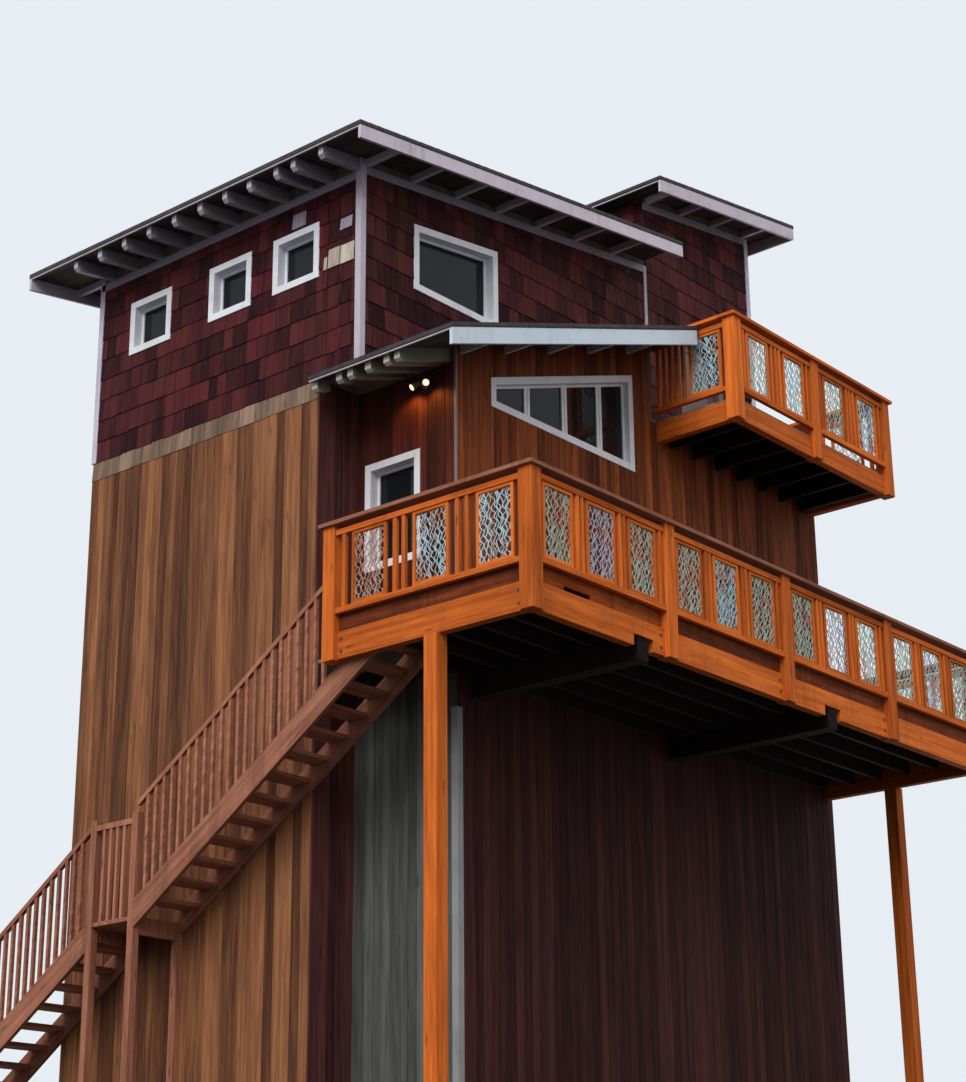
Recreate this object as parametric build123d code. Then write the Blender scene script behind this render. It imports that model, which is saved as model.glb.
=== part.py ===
import os
from math import radians, sin, tan

from build123d import *

# Tree house on a slope: a tall timber cabin with a boarded lower part, a shingled upper
# storey under three shed roofs, a wrap-round deck on posts, a long stair and a small balcony.
# Sizes are in millimetres. X runs to the far end of the long side, Y to the stair side's far
# end and Z up from the lowest ground. Everything is placed from the outer corner of the deck,
# and the finished house is moved at the end so that the origin is under its middle.

# Levels
DECK_LEVEL = 4890
UPPER_WALL_FOOT = 8120
UPPER_LEVEL = 8600
MAIN_FLOOR_THICKNESS = 260

# Plan of the cabin
WALL = 150
STAIR_WALL_X = 870
RETURN_WALL_Y = 3660
PORCH_WALL_X = 1500
LONG_WALL_Y = 2224
TOWER_WALL_Y = 3056
BLOCK_X = 6250
FAR_WALL_X = 8700
BACK_WALL_Y = 7450

# Deck frame
DECK_LENGTH = FAR_WALL_X
DECK_LEFT_END = 2700
POST = 160
POST_LAP = 60
POST_DROP = 12
RIM_THICKNESS = POST - POST_LAP
RIM_DEPTH = 286
RIM_TOP_BELOW_FLOOR = 104
FLOOR_BOARD = 38
SKIRT_THICKNESS = 30
SKIRT_SETBACK = 90
SKIRT_BEHIND_RAIL = 30
JOIST_WIDTH = 50
JOIST_COUNT = 6
PORCH_JOIST_COUNT = 3
GIRDER_WIDTH = 180
GIRDER_DEPTH = 240
GIRDER_SETBACK = 75
NOTCH_WIDTH = 320
NOTCH_DEPTH = 120
DECK_GIRDERS_X = (1700, 5165)
SUPPORT_POST_SETBACK = 20
SUPPORT_POST_Y = 1200
DECK_BAYS = 4
FIT = 1

# Guard
GUARD_HEIGHT = 1045
CAP_THICKNESS = 42
CAP_OVERHANG = 40
CAP_WIDTH = 240
RAIL_WIDTH = 60
RAIL_HEIGHT = 60
RAIL_INSET = 15
BOTTOM_RAIL_RISE = 72
CAP_GAP = 45
BALUSTER = 46
DECK_BAY_COUNTS = (0, 2, 2, 1)
BALCONY_BAY_COUNTS = (1, 3, 1)
BALCONY_END_BAY_COUNTS = (0, 5)
GAP_ALLOWANCE = 0.6
PANEL_WIDTH = 465
PANEL_FRAME = 36
PANEL_THICKNESS = 34
LATTICE_THICKNESS = 14
STEM_WIDTH = 16
STEM_PAIRS = 3
STEM_BENDS = 3
STEM_SWAY = 0.42
STEM_TENON = 5

# Stair
STAIR_TOP_Y = 2020
STAIR_GOING = 270
UPPER_RISERS = 14
LOWER_RISERS = 13
TREAD_THICKNESS = 45
STRINGER_WIDTH = 50
STRINGER_DEPTH = 300
LANDING_LENGTH = 750
LANDING_THICKNESS = 45
LANDING_JOIST_DEPTH = 185
STAIR_POST = 90
STAIR_POST_TOP = 60
HANDRAIL = 50
STAIR_BALUSTER = 38
STAIR_BALUSTER_PITCH = 125

# Roofs: each is a sloping deck whose top surface rises along X from its low eave
ROOF_THICKNESS = 62
MAIN_ROOF_SLOPE = 8.4
MAIN_EAVE_X = 200
MAIN_EAVE_TOP = 10620
MAIN_RAKE_OVERHANG = 620
MAIN_RAFTER_DEPTH = 150
MAIN_RAFTER_WIDTH = 75
MAIN_RAFTERS_Y = (3491, 3764, 4194, 4594, 5010, 5450, 5890, 6330, 6770, 7210)
MAIN_END_TAIL_Y = 3062
MAIN_FASCIA_HEIGHT = 160
LOWER_ROOF_SLOPE = 19.1
LOWER_EAVE_X = 600
LOWER_EAVE_TOP = 8044
LOWER_EAVE_END = 3565
LOWER_RAKE_OVERHANG = 740
LOWER_HIGH_END = 5180
LOWER_RAFTER_DEPTH = 150
LOWER_RAFTER_WIDTH = 85
LOWER_RAFTERS_Y = (2270, 2420, 2690, 2950)
LOWER_FASCIA_HEIGHT = 190
RAFTER_CUT = 45
GALLERY_END_X = 5120
REAR_ROOF_SLOPE = 9.8
REAR_EAVE_X = 5950
REAR_EAVE_TOP = 12400
REAR_OVERHANG = 520
REAR_HIGH_OVERHANG = 480
REAR_FASCIA_HEIGHT = 170
FASCIA_THICKNESS = 38
TAIL_SETBACK = 60
LOOKOUT_WIDTH = 60
LOOKOUT_DEPTH = 90
LOOKOUT_PITCH = 760
BARGE_INSET = 3
ROOF_END_CLEARANCE = 5

# Balcony
BALCONY_FRONT_Y = 994
BALCONY_RIM_DEPTH = 250
BALCONY_RIM_DROP = 40
BALCONY_JOIST_WIDTH = 50
BALCONY_JOIST_COUNT = 7
BALCONY_BAYS = 2

# Openings and joinery; a window's sizes are taken over its casing
CASING_WIDTH = 62
CASING_PROUD = 22
JAMB = 22
SASH = 30
SASH_THICKNESS = 45
SASH_INSET = 95
GALLERY_SASH_INSET = 55
MULLION = 96
MULLION_GROOVE = 14
GLASS = 8
CUT_CLEARANCE = 0.01
PORCH_WINDOW_Y = (2720, 3530)
PORCH_WINDOW_Z = (5990, 7240)
GALLERY_WINDOW_X = (2075, 4705)
GALLERY_WINDOW_SILL = 7780
GALLERY_WINDOW_HEADS = (8120, 9030)
GALLERY_MULLIONS_X = (2790, 3470, 4130)
TOWER_WINDOW_X = (1735, 3215)
TOWER_WINDOW_SILL = 9350
TOWER_WINDOW_HEADS = (10170, 10385)
SIDE_WINDOWS_Y = ((3685, 4420), (4780, 5490), (6150, 6880))
SIDE_WINDOW_Z = (9380, 10075)
BACK_WINDOWS_X = ((2400, 3135), (4300, 5035))
BACK_MAIN_WINDOW_Z = (5990, 7240)
DOOR_WIDTH = 860
DOOR_HEIGHT = 2040
DOOR_THICKNESS = 45
DECK_DOOR_X = 6000
BALCONY_DOOR_X = 7000
DOOR_FRAME = 40
DOOR_STILE = 120
DOOR_PANEL_DEPTH = 10
DOOR_INSET = 55
LOCK_RAIL_SHARE = 0.45
KNOB_RADIUS = 26
CORNER_BOARD = 60
CORNER_BOARD_THICKNESS = 24
CORNER_BEAD = 26

# Twin lamp under the eave
LAMP_Y = 2640
LAMP_BELOW_ROOF = 330
LAMP_PLATE_RADIUS = 52
LAMP_PLATE_THICKNESS = 25
LAMP_ARM_RADIUS = 11
LAMP_ARM_REACH = 70
LAMP_SPREAD = 75
LAMP_HOOD_RADIUS = 42
LAMP_HOOD_LENGTH = 105
LAMP_HOOD_BACK_SHARE = 0.6
LAMP_HOOD_AIM = (-1, 0.6, -0.9)
LAMP_HOOD_OVERLAP_SHARE = 0.35

parts = {}


def block(x0, x1, y0, y1, z0, z1):
    """A box between two opposite corners."""
    centre = ((x0 + x1) / 2, (y0 + y1) / 2, (z0 + z1) / 2)
    return Pos(*centre) * Box(abs(x1 - x0), abs(y1 - y0), abs(z1 - z0))


def slab_along_y(profile, y0, y1):
    """A prism with its outline given as (x, z) points, running from y0 to y1."""
    outline = make_face(Polyline([(x, y0, z) for x, z in profile], close=True))
    return extrude(outline, amount=y1 - y0, dir=(0, 1, 0))


def slab_along_x(profile, x0, x1):
    """A prism with its outline given as (y, z) points, running from x0 to x1."""
    outline = make_face(Polyline([(x0, y, z) for y, z in profile], close=True))
    return extrude(outline, amount=x1 - x0, dir=(1, 0, 0))


def flat_plate(points, thickness):
    """A plate in the XY plane with the given outline, rising from z = 0."""
    return extrude(make_face(Polyline(points, close=True)), amount=thickness, dir=(0, 0, 1))


def joined(shapes):
    """Solids that don't touch, kept as one piece of the model."""
    solids = []
    for shape in shapes:
        solids.extend(shape.solids())
    return Compound(solids)


def spaced(first, last, count):
    """Evenly spaced values from first to last."""
    return [first + (last - first) * i / (count - 1) for i in range(count)]


# Roof surfaces
def main_roof_top(x):
    return MAIN_EAVE_TOP + (x - MAIN_EAVE_X) * tan(radians(MAIN_ROOF_SLOPE))


def lower_roof_top(x):
    return LOWER_EAVE_TOP + (x - LOWER_EAVE_X) * tan(radians(LOWER_ROOF_SLOPE))


def rear_roof_top(x):
    return REAR_EAVE_TOP + (x - REAR_EAVE_X) * tan(radians(REAR_ROOF_SLOPE))


def sloping_board(top, x0, x1, drop, depth, y0, y1):
    """A board that follows a roof surface, its top drop below it and depth high."""
    profile = [
        (x0, top(x0) - drop - depth),
        (x1, top(x1) - drop - depth),
        (x1, top(x1) - drop),
        (x0, top(x0) - drop),
    ]
    return slab_along_y(profile, y0, y1)


def cut_rafter(top, x0, x1, depth, y0, width):
    """A rafter under a roof, the lower corner of its tail cut off."""
    foot = ROOF_THICKNESS + depth
    profile = [
        (x0 + RAFTER_CUT, top(x0 + RAFTER_CUT) - foot),
        (x1, top(x1) - foot),
        (x1, top(x1) - ROOF_THICKNESS),
        (x0, top(x0) - ROOF_THICKNESS),
        (x0, top(x0) - foot + RAFTER_CUT),
    ]
    return slab_along_y(profile, y0, y0 + width)


# Walls seen from outside: u runs to the right, v up and w out of the wall
def long_side(y):
    return Plane(origin=(0, y, 0), x_dir=(1, 0, 0), z_dir=(0, -1, 0))


def stair_side(x):
    return Plane(origin=(x, 0, 0), x_dir=(0, -1, 0), z_dir=(-1, 0, 0))


def back_side(y):
    return Plane(origin=(0, y, 0), x_dir=(-1, 0, 0), z_dir=(0, 1, 0))


def far_side(x):
    return Plane(origin=(x, 0, 0), x_dir=(0, 1, 0), z_dir=(1, 0, 0))


def grown(points, amount):
    outline = make_face(Polyline(points, close=True))
    return offset(outline, amount=amount, kind=Kind.INTERSECTION) if amount else outline


def hole(opening):
    """What a window or door takes out of its wall."""
    return Pos(0, 0, -2 * WALL) * extrude(opening, amount=3 * WALL, dir=(0, 0, 1))


def window_hole(points):
    return hole(grown(points, CUT_CLEARANCE - CASING_WIDTH))


def window_frame(points, mullions=(), inset=SASH_INSET):
    """Casing on the wall's face, jamb through the wall and a fixed sash with its mullions."""
    casing = extrude(grown(points, 0), amount=CASING_PROUD, dir=(0, 0, 1))
    opening = grown(points, -CASING_WIDTH)
    jamb = Pos(0, 0, -WALL) * extrude(opening, amount=WALL + CASING_PROUD, dir=(0, 0, 1))
    clear = grown(points, -CASING_WIDTH - JAMB)
    way = Pos(0, 0, -2 * WALL) * extrude(clear, amount=4 * WALL, dir=(0, 0, 1))
    light = grown(points, -CASING_WIDTH - JAMB - SASH)
    sash = extrude(clear, amount=SASH_THICKNESS, dir=(0, 0, 1))
    sash -= extrude(light, amount=SASH_THICKNESS, dir=(0, 0, 1))
    low = min(v for u, v in points)
    high = max(v for u, v in points)
    groove = MULLION_GROOVE / 2
    for u in mullions:
        bar = block(u - MULLION / 2, u + MULLION / 2, low, high, 0, SASH_THICKNESS)
        bar -= block(u - groove, u + groove, low, high, SASH_THICKNESS - MULLION_GROOVE, SASH_THICKNESS)
        sash += bar & extrude(clear, amount=SASH_THICKNESS, dir=(0, 0, 1))
    sash = Pos(0, 0, -inset - SASH_THICKNESS) * sash
    return (casing + jamb) - way + sash


def window_glass(points, mullions=(), inset=SASH_INSET):
    """One pane for each light of the sash."""
    pane = extrude(grown(points, -CASING_WIDTH - JAMB - SASH), amount=GLASS, dir=(0, 0, 1))
    low = min(v for u, v in points)
    high = max(v for u, v in points)
    for u in mullions:
        pane -= block(u - MULLION / 2, u + MULLION / 2, low, high, -GLASS, 2 * GLASS)
    return Pos(0, 0, -inset - SASH_THICKNESS / 2 - GLASS / 2) * pane


def rectangle(u0, u1, v0, v1):
    return [(u0, v0), (u1, v0), (u1, v1), (u0, v1)]


def door(u0, sill):
    """A closed door in its frame: stiles and rails round two sunk panels, and a knob."""
    u1 = u0 + DOOR_WIDTH
    head = sill + DOOR_HEIGHT
    opening = rectangle(u0, u1, sill, head)
    frame = extrude(grown(opening, CASING_WIDTH), amount=CASING_PROUD, dir=(0, 0, 1))
    frame &= block(u0 - DOOR_WIDTH, u1 + DOOR_WIDTH, sill, head + DOOR_HEIGHT, 0, CASING_PROUD)
    frame += block(u0, u1, sill, head, -WALL, CASING_PROUD)
    frame -= block(u0 + DOOR_FRAME, u1 - DOOR_FRAME, sill + DOOR_FRAME, head - DOOR_FRAME, -2 * WALL, WALL)
    leaf = block(
        u0 + DOOR_FRAME,
        u1 - DOOR_FRAME,
        sill + DOOR_FRAME,
        head - DOOR_FRAME,
        -DOOR_INSET - DOOR_THICKNESS,
        -DOOR_INSET,
    )
    middle = sill + DOOR_HEIGHT * LOCK_RAIL_SHARE
    edges = ((sill + DOOR_FRAME, middle), (middle - DOOR_STILE, head - DOOR_FRAME))
    for low, high in edges:
        leaf -= block(
            u0 + DOOR_FRAME + DOOR_STILE,
            u1 - DOOR_FRAME - DOOR_STILE,
            low + DOOR_STILE,
            high - DOOR_STILE,
            -DOOR_INSET - DOOR_PANEL_DEPTH,
            0,
        )
    knob_u = u0 + DOOR_FRAME + DOOR_STILE / 2
    knob = Pos(knob_u, middle, -DOOR_INSET + KNOB_RADIUS) * Sphere(KNOB_RADIUS)
    stem = Pos(knob_u, middle, -DOOR_INSET + KNOB_RADIUS / 2) * Cylinder(KNOB_RADIUS / 3, KNOB_RADIUS)
    return frame + leaf + knob + stem


def door_hole(u0, sill):
    return hole(grown(rectangle(u0, u0 + DOOR_WIDTH, sill, sill + DOOR_HEIGHT), CUT_CLEARANCE))


# Lower walls
def on_stair_side(y_range, z_low, z_high):
    """A window on a wall that faces the stair, in that wall's own u and v."""
    return rectangle(-y_range[1], -y_range[0], z_low, z_high)


gallery_window = [
    (GALLERY_WINDOW_X[0], GALLERY_WINDOW_SILL),
    (GALLERY_WINDOW_X[1], GALLERY_WINDOW_SILL),
    (GALLERY_WINDOW_X[1], GALLERY_WINDOW_HEADS[1]),
    (GALLERY_WINDOW_X[0], GALLERY_WINDOW_HEADS[0]),
]
tower_window = [
    (TOWER_WINDOW_X[0], TOWER_WINDOW_SILL),
    (TOWER_WINDOW_X[1], TOWER_WINDOW_SILL),
    (TOWER_WINDOW_X[1], TOWER_WINDOW_HEADS[1]),
    (TOWER_WINDOW_X[0], TOWER_WINDOW_HEADS[0]),
]
porch_window = on_stair_side(PORCH_WINDOW_Y, *PORCH_WINDOW_Z)
side_windows = [on_stair_side(y_range, *SIDE_WINDOW_Z) for y_range in SIDE_WINDOWS_Y]
back_windows = [rectangle(-x1, -x0, *SIDE_WINDOW_Z) for x0, x1 in BACK_WINDOWS_X]
back_main_windows = [rectangle(-x1, -x0, *BACK_MAIN_WINDOW_Z) for x0, x1 in BACK_WINDOWS_X]

balcony_rim_top = UPPER_LEVEL - BALCONY_RIM_DROP
balcony_rim_foot = balcony_rim_top - BALCONY_RIM_DEPTH


def lower_roof_foot(x):
    return lower_roof_top(x) - ROOF_THICKNESS


def main_roof_foot(x):
    return main_roof_top(x) - ROOF_THICKNESS


def rear_roof_foot(x):
    return rear_roof_top(x) - ROOF_THICKNESS


# Rafters run up the slope, and the low walls are cut round them
lower_tail_x = LOWER_EAVE_X + TAIL_SETBACK
lower_rafters = [
    cut_rafter(
        lower_roof_top, lower_tail_x, GALLERY_END_X - WALL, LOWER_RAFTER_DEPTH, y, LOWER_RAFTER_WIDTH
    )
    for y in LOWER_RAFTERS_Y
]
lower_rafters[0] &= block(0, FAR_WALL_X, LONG_WALL_Y + WALL, BACK_WALL_Y, 0, REAR_EAVE_TOP) + block(
    0, PORCH_WALL_X, 0, BACK_WALL_Y, 0, REAR_EAVE_TOP
)
main_tail_x = MAIN_EAVE_X + TAIL_SETBACK
main_rafters = [
    cut_rafter(main_roof_top, main_tail_x, BLOCK_X, MAIN_RAFTER_DEPTH, y, MAIN_RAFTER_WIDTH)
    for y in MAIN_RAFTERS_Y
]

balcony_joists = [
    block(
        x,
        x + BALCONY_JOIST_WIDTH,
        BALCONY_FRONT_Y + POST,
        TOWER_WALL_Y,
        balcony_rim_foot,
        balcony_rim_top,
    )
    for x in spaced(
        GALLERY_END_X + 2 * POST,
        FAR_WALL_X - 2 * POST - BALCONY_JOIST_WIDTH,
        BALCONY_JOIST_COUNT,
    )
]

stair_wall = block(STAIR_WALL_X, STAIR_WALL_X + WALL, RETURN_WALL_Y, BACK_WALL_Y - WALL, 0, UPPER_WALL_FOOT)
return_wall = block(
    STAIR_WALL_X + WALL, PORCH_WALL_X + WALL, RETURN_WALL_Y, RETURN_WALL_Y + WALL, 0, UPPER_WALL_FOOT
)

porch_low = block(
    PORCH_WALL_X, PORCH_WALL_X + WALL, LONG_WALL_Y + WALL, RETURN_WALL_Y, 0, UPPER_WALL_FOOT
)
porch_top = [
    (PORCH_WALL_X, UPPER_WALL_FOOT),
    (PORCH_WALL_X + WALL, UPPER_WALL_FOOT),
    (PORCH_WALL_X + WALL, lower_roof_foot(PORCH_WALL_X + WALL)),
    (PORCH_WALL_X, lower_roof_foot(PORCH_WALL_X)),
]
porch_wall = porch_low + slab_along_y(porch_top, LONG_WALL_Y + WALL, TOWER_WALL_Y)
porch_wall -= stair_side(PORCH_WALL_X) * window_hole(porch_window)
for rafter in lower_rafters:
    porch_wall -= rafter

long_outline = [
    (PORCH_WALL_X, 0),
    (FAR_WALL_X, 0),
    (FAR_WALL_X, balcony_rim_top),
    (GALLERY_END_X, balcony_rim_top),
    (GALLERY_END_X, lower_roof_foot(GALLERY_END_X)),
    (PORCH_WALL_X, lower_roof_foot(PORCH_WALL_X)),
]
long_wall = slab_along_y(long_outline, LONG_WALL_Y, LONG_WALL_Y + WALL)
long_wall -= long_side(LONG_WALL_Y) * window_hole(gallery_window)
long_wall -= long_side(LONG_WALL_Y) * door_hole(DECK_DOOR_X, DECK_LEVEL)
for joist in balcony_joists:
    long_wall -= joist

lower_far_wall = block(
    FAR_WALL_X - WALL, FAR_WALL_X, LONG_WALL_Y + WALL, BACK_WALL_Y - WALL, 0, UPPER_WALL_FOOT
) + block(
    FAR_WALL_X - WALL, FAR_WALL_X, LONG_WALL_Y + WALL, TOWER_WALL_Y, UPPER_WALL_FOOT, balcony_rim_top
)
lower_back_wall = block(STAIR_WALL_X, FAR_WALL_X, BACK_WALL_Y - WALL, BACK_WALL_Y, 0, UPPER_WALL_FOOT)
for points in back_main_windows:
    lower_back_wall -= back_side(BACK_WALL_Y) * window_hole(points)

gallery_end_outline = [
    (GALLERY_END_X - WALL, UPPER_WALL_FOOT),
    (GALLERY_END_X, UPPER_WALL_FOOT),
    (GALLERY_END_X, lower_roof_foot(GALLERY_END_X)),
    (GALLERY_END_X - WALL, lower_roof_foot(GALLERY_END_X - WALL)),
]
parts["stair_wall"] = stair_wall
parts["return_wall"] = return_wall
parts["porch_wall"] = porch_wall
parts["long_wall"] = long_wall
parts["lower_far_wall"] = lower_far_wall
parts["lower_back_wall"] = lower_back_wall
parts["gallery_end_wall"] = slab_along_y(gallery_end_outline, LONG_WALL_Y + WALL, TOWER_WALL_Y)

# Floors inside the walls
main_floor_foot = DECK_LEVEL - MAIN_FLOOR_THICKNESS
parts["main_floor"] = block(
    PORCH_WALL_X + WALL,
    FAR_WALL_X - WALL,
    LONG_WALL_Y + WALL,
    BACK_WALL_Y - WALL,
    main_floor_foot,
    DECK_LEVEL,
) + block(
    STAIR_WALL_X + WALL,
    PORCH_WALL_X + WALL,
    RETURN_WALL_Y + WALL,
    BACK_WALL_Y - WALL,
    main_floor_foot,
    DECK_LEVEL,
)
parts["upper_floor"] = block(
    STAIR_WALL_X + WALL,
    FAR_WALL_X - WALL,
    TOWER_WALL_Y + WALL,
    BACK_WALL_Y - WALL,
    UPPER_WALL_FOOT,
    UPPER_LEVEL,
)

# Upper walls
tower_side_outline = [
    (STAIR_WALL_X, UPPER_WALL_FOOT),
    (STAIR_WALL_X + WALL, UPPER_WALL_FOOT),
    (STAIR_WALL_X + WALL, main_roof_foot(STAIR_WALL_X + WALL)),
    (STAIR_WALL_X, main_roof_foot(STAIR_WALL_X)),
]
tower_side_wall = slab_along_y(tower_side_outline, TOWER_WALL_Y, BACK_WALL_Y)
for points in side_windows:
    tower_side_wall -= stair_side(STAIR_WALL_X) * window_hole(points)
for rafter in main_rafters:
    tower_side_wall -= rafter
parts["tower_side_wall"] = tower_side_wall

tower_outline = [
    (STAIR_WALL_X + WALL, UPPER_WALL_FOOT),
    (BLOCK_X, UPPER_WALL_FOOT),
    (BLOCK_X, main_roof_foot(BLOCK_X)),
    (STAIR_WALL_X + WALL, main_roof_foot(STAIR_WALL_X + WALL)),
]
tower_front_wall = slab_along_y(tower_outline, TOWER_WALL_Y, TOWER_WALL_Y + WALL)
tower_front_wall -= long_side(TOWER_WALL_Y) * window_hole(tower_window)
parts["tower_front_wall"] = tower_front_wall

block_outline = [
    (BLOCK_X, UPPER_WALL_FOOT),
    (FAR_WALL_X, UPPER_WALL_FOOT),
    (FAR_WALL_X, rear_roof_foot(FAR_WALL_X)),
    (BLOCK_X, rear_roof_foot(BLOCK_X)),
]
block_front_wall = slab_along_y(block_outline, TOWER_WALL_Y, TOWER_WALL_Y + WALL)
block_front_wall -= long_side(TOWER_WALL_Y) * door_hole(BALCONY_DOOR_X, UPPER_LEVEL)
parts["block_front_wall"] = block_front_wall

far_outline = [
    (FAR_WALL_X - WALL, UPPER_WALL_FOOT),
    (FAR_WALL_X, UPPER_WALL_FOOT),
    (FAR_WALL_X, rear_roof_foot(FAR_WALL_X)),
    (FAR_WALL_X - WALL, rear_roof_foot(FAR_WALL_X - WALL)),
]
parts["upper_far_wall"] = slab_along_y(far_outline, TOWER_WALL_Y + WALL, BACK_WALL_Y - WALL)

clerestory_foot = main_roof_foot(BLOCK_X) - MAIN_RAFTER_DEPTH
clerestory_outline = [
    (BLOCK_X, clerestory_foot),
    (BLOCK_X + WALL, clerestory_foot),
    (BLOCK_X + WALL, rear_roof_foot(BLOCK_X + WALL)),
    (BLOCK_X, rear_roof_foot(BLOCK_X)),
]
parts["clerestory_wall"] = slab_along_y(clerestory_outline, TOWER_WALL_Y + WALL, BACK_WALL_Y - WALL)

back_outline = [
    (STAIR_WALL_X + WALL, UPPER_WALL_FOOT),
    (FAR_WALL_X, UPPER_WALL_FOOT),
    (FAR_WALL_X, rear_roof_foot(FAR_WALL_X)),
    (BLOCK_X, rear_roof_foot(BLOCK_X)),
    (BLOCK_X, main_roof_foot(BLOCK_X)),
    (STAIR_WALL_X + WALL, main_roof_foot(STAIR_WALL_X + WALL)),
]
upper_back_wall = slab_along_y(back_outline, BACK_WALL_Y - WALL, BACK_WALL_Y)
for points in back_windows:
    upper_back_wall -= back_side(BACK_WALL_Y) * window_hole(points)
parts["upper_back_wall"] = upper_back_wall


# Corner boards: upright pale boards on the outer corners
def corner_board(x, y, foot, head, side):
    """Two boards lapped over a corner; side is +1 where the wall runs on along +X."""
    t = CORNER_BOARD_THICKNESS
    board = block(x - side * t, x + side * CORNER_BOARD, y - t, y, foot, head)
    return board + block(x - side * t, x, y - t, y + CORNER_BOARD, foot, head)


deck_underside = DECK_LEVEL - RIM_TOP_BELOW_FLOOR - RIM_DEPTH
tower_board_face = STAIR_WALL_X - CORNER_BOARD_THICKNESS
tower_board_head = main_roof_foot(tower_board_face)
block_board_foot = UPPER_LEVEL + GUARD_HEIGHT
block_board_head = rear_roof_foot(FAR_WALL_X - CORNER_BOARD) - LOOKOUT_DEPTH
block_board = corner_board(FAR_WALL_X, TOWER_WALL_Y, block_board_foot, block_board_head, -1)
porch_board = corner_board(PORCH_WALL_X, LONG_WALL_Y, 0, deck_underside - GIRDER_DEPTH, 1)
tower_board_foot = lower_roof_top(STAIR_WALL_X + CORNER_BOARD)
tower_board = corner_board(STAIR_WALL_X, TOWER_WALL_Y, tower_board_foot, tower_board_head, 1)
join_board = block(
    BLOCK_X - CORNER_BOARD,
    BLOCK_X,
    TOWER_WALL_Y - CORNER_BOARD_THICKNESS,
    TOWER_WALL_Y,
    UPPER_LEVEL,
    main_roof_foot(BLOCK_X - CORNER_BOARD) - LOOKOUT_DEPTH,
)
bead_in = CORNER_BEAD - CORNER_BOARD_THICKNESS
porch_bead = block(
    PORCH_WALL_X - CORNER_BOARD_THICKNESS,
    PORCH_WALL_X + bead_in,
    LONG_WALL_Y - CORNER_BOARD_THICKNESS,
    LONG_WALL_Y + bead_in,
    DECK_LEVEL,
    lower_roof_foot(PORCH_WALL_X - CORNER_BOARD_THICKNESS),
) - block(PORCH_WALL_X, FAR_WALL_X, LONG_WALL_Y, BACK_WALL_Y, 0, REAR_EAVE_TOP)
parts["corner_boards"] = joined([tower_board, porch_board, porch_bead, join_board, block_board])

# Windows
parts["main_window_frames"] = joined(
    [
        stair_side(PORCH_WALL_X) * window_frame(porch_window),
        long_side(LONG_WALL_Y) * window_frame(gallery_window, GALLERY_MULLIONS_X, GALLERY_SASH_INSET),
    ]
    + [back_side(BACK_WALL_Y) * window_frame(points) for points in back_main_windows]
)
parts["main_window_glass"] = joined(
    [
        stair_side(PORCH_WALL_X) * window_glass(porch_window),
        long_side(LONG_WALL_Y) * window_glass(gallery_window, GALLERY_MULLIONS_X, GALLERY_SASH_INSET),
    ]
    + [back_side(BACK_WALL_Y) * window_glass(points) for points in back_main_windows]
)
parts["upper_window_frames"] = joined(
    [long_side(TOWER_WALL_Y) * window_frame(tower_window)]
    + [stair_side(STAIR_WALL_X) * window_frame(points) for points in side_windows]
    + [back_side(BACK_WALL_Y) * window_frame(points) for points in back_windows]
)
parts["upper_window_glass"] = joined(
    [long_side(TOWER_WALL_Y) * window_glass(tower_window)]
    + [stair_side(STAIR_WALL_X) * window_glass(points) for points in side_windows]
    + [back_side(BACK_WALL_Y) * window_glass(points) for points in back_windows]
)
parts["deck_door"] = long_side(LONG_WALL_Y) * door(DECK_DOOR_X, DECK_LEVEL)
parts["balcony_door"] = long_side(TOWER_WALL_Y) * door(BALCONY_DOOR_X, UPPER_LEVEL)

# Main roof over the tower
main_rake_y = TOWER_WALL_Y - MAIN_RAKE_OVERHANG
main_back_y = BACK_WALL_Y + MAIN_RAKE_OVERHANG
parts["main_roof"] = sloping_board(
    main_roof_top, MAIN_EAVE_X, BLOCK_X, 0, ROOF_THICKNESS, main_rake_y, main_back_y
)
end_tail = cut_rafter(
    main_roof_top, main_tail_x, tower_board_face, MAIN_RAFTER_DEPTH, MAIN_END_TAIL_Y, MAIN_RAFTER_WIDTH
)
parts["main_roof_rafters"] = joined(main_rafters + [end_tail])


def rake_trim(top, x0, x1, rake_y, wall_y, fascia_height, first_lookout):
    """The rake board at a roof's edge with the lookouts that carry it from the wall."""
    out = 1 if rake_y > wall_y else -1
    inner_y = rake_y - out * FASCIA_THICKNESS
    fascia = sloping_board(
        top, x0, x1, ROOF_THICKNESS, fascia_height, min(inner_y, rake_y), max(inner_y, rake_y)
    )
    trim = fascia
    x = first_lookout
    while x + LOOKOUT_WIDTH < x1:
        trim += sloping_board(
            top,
            x,
            x + LOOKOUT_WIDTH,
            ROOF_THICKNESS,
            LOOKOUT_DEPTH,
            min(inner_y, wall_y),
            max(inner_y, wall_y),
        )
        x += LOOKOUT_PITCH
    return trim


parts["main_roof_trim"] = joined(
    [
        rake_trim(
            main_roof_top,
            MAIN_EAVE_X + BARGE_INSET,
            BLOCK_X,
            main_rake_y + BARGE_INSET,
            TOWER_WALL_Y,
            MAIN_FASCIA_HEIGHT,
            STAIR_WALL_X + CORNER_BOARD,
        ),
        rake_trim(
            main_roof_top,
            MAIN_EAVE_X + BARGE_INSET,
            BLOCK_X,
            main_back_y - BARGE_INSET,
            BACK_WALL_Y,
            MAIN_FASCIA_HEIGHT,
            STAIR_WALL_X + CORNER_BOARD,
        ),
    ]
)

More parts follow.
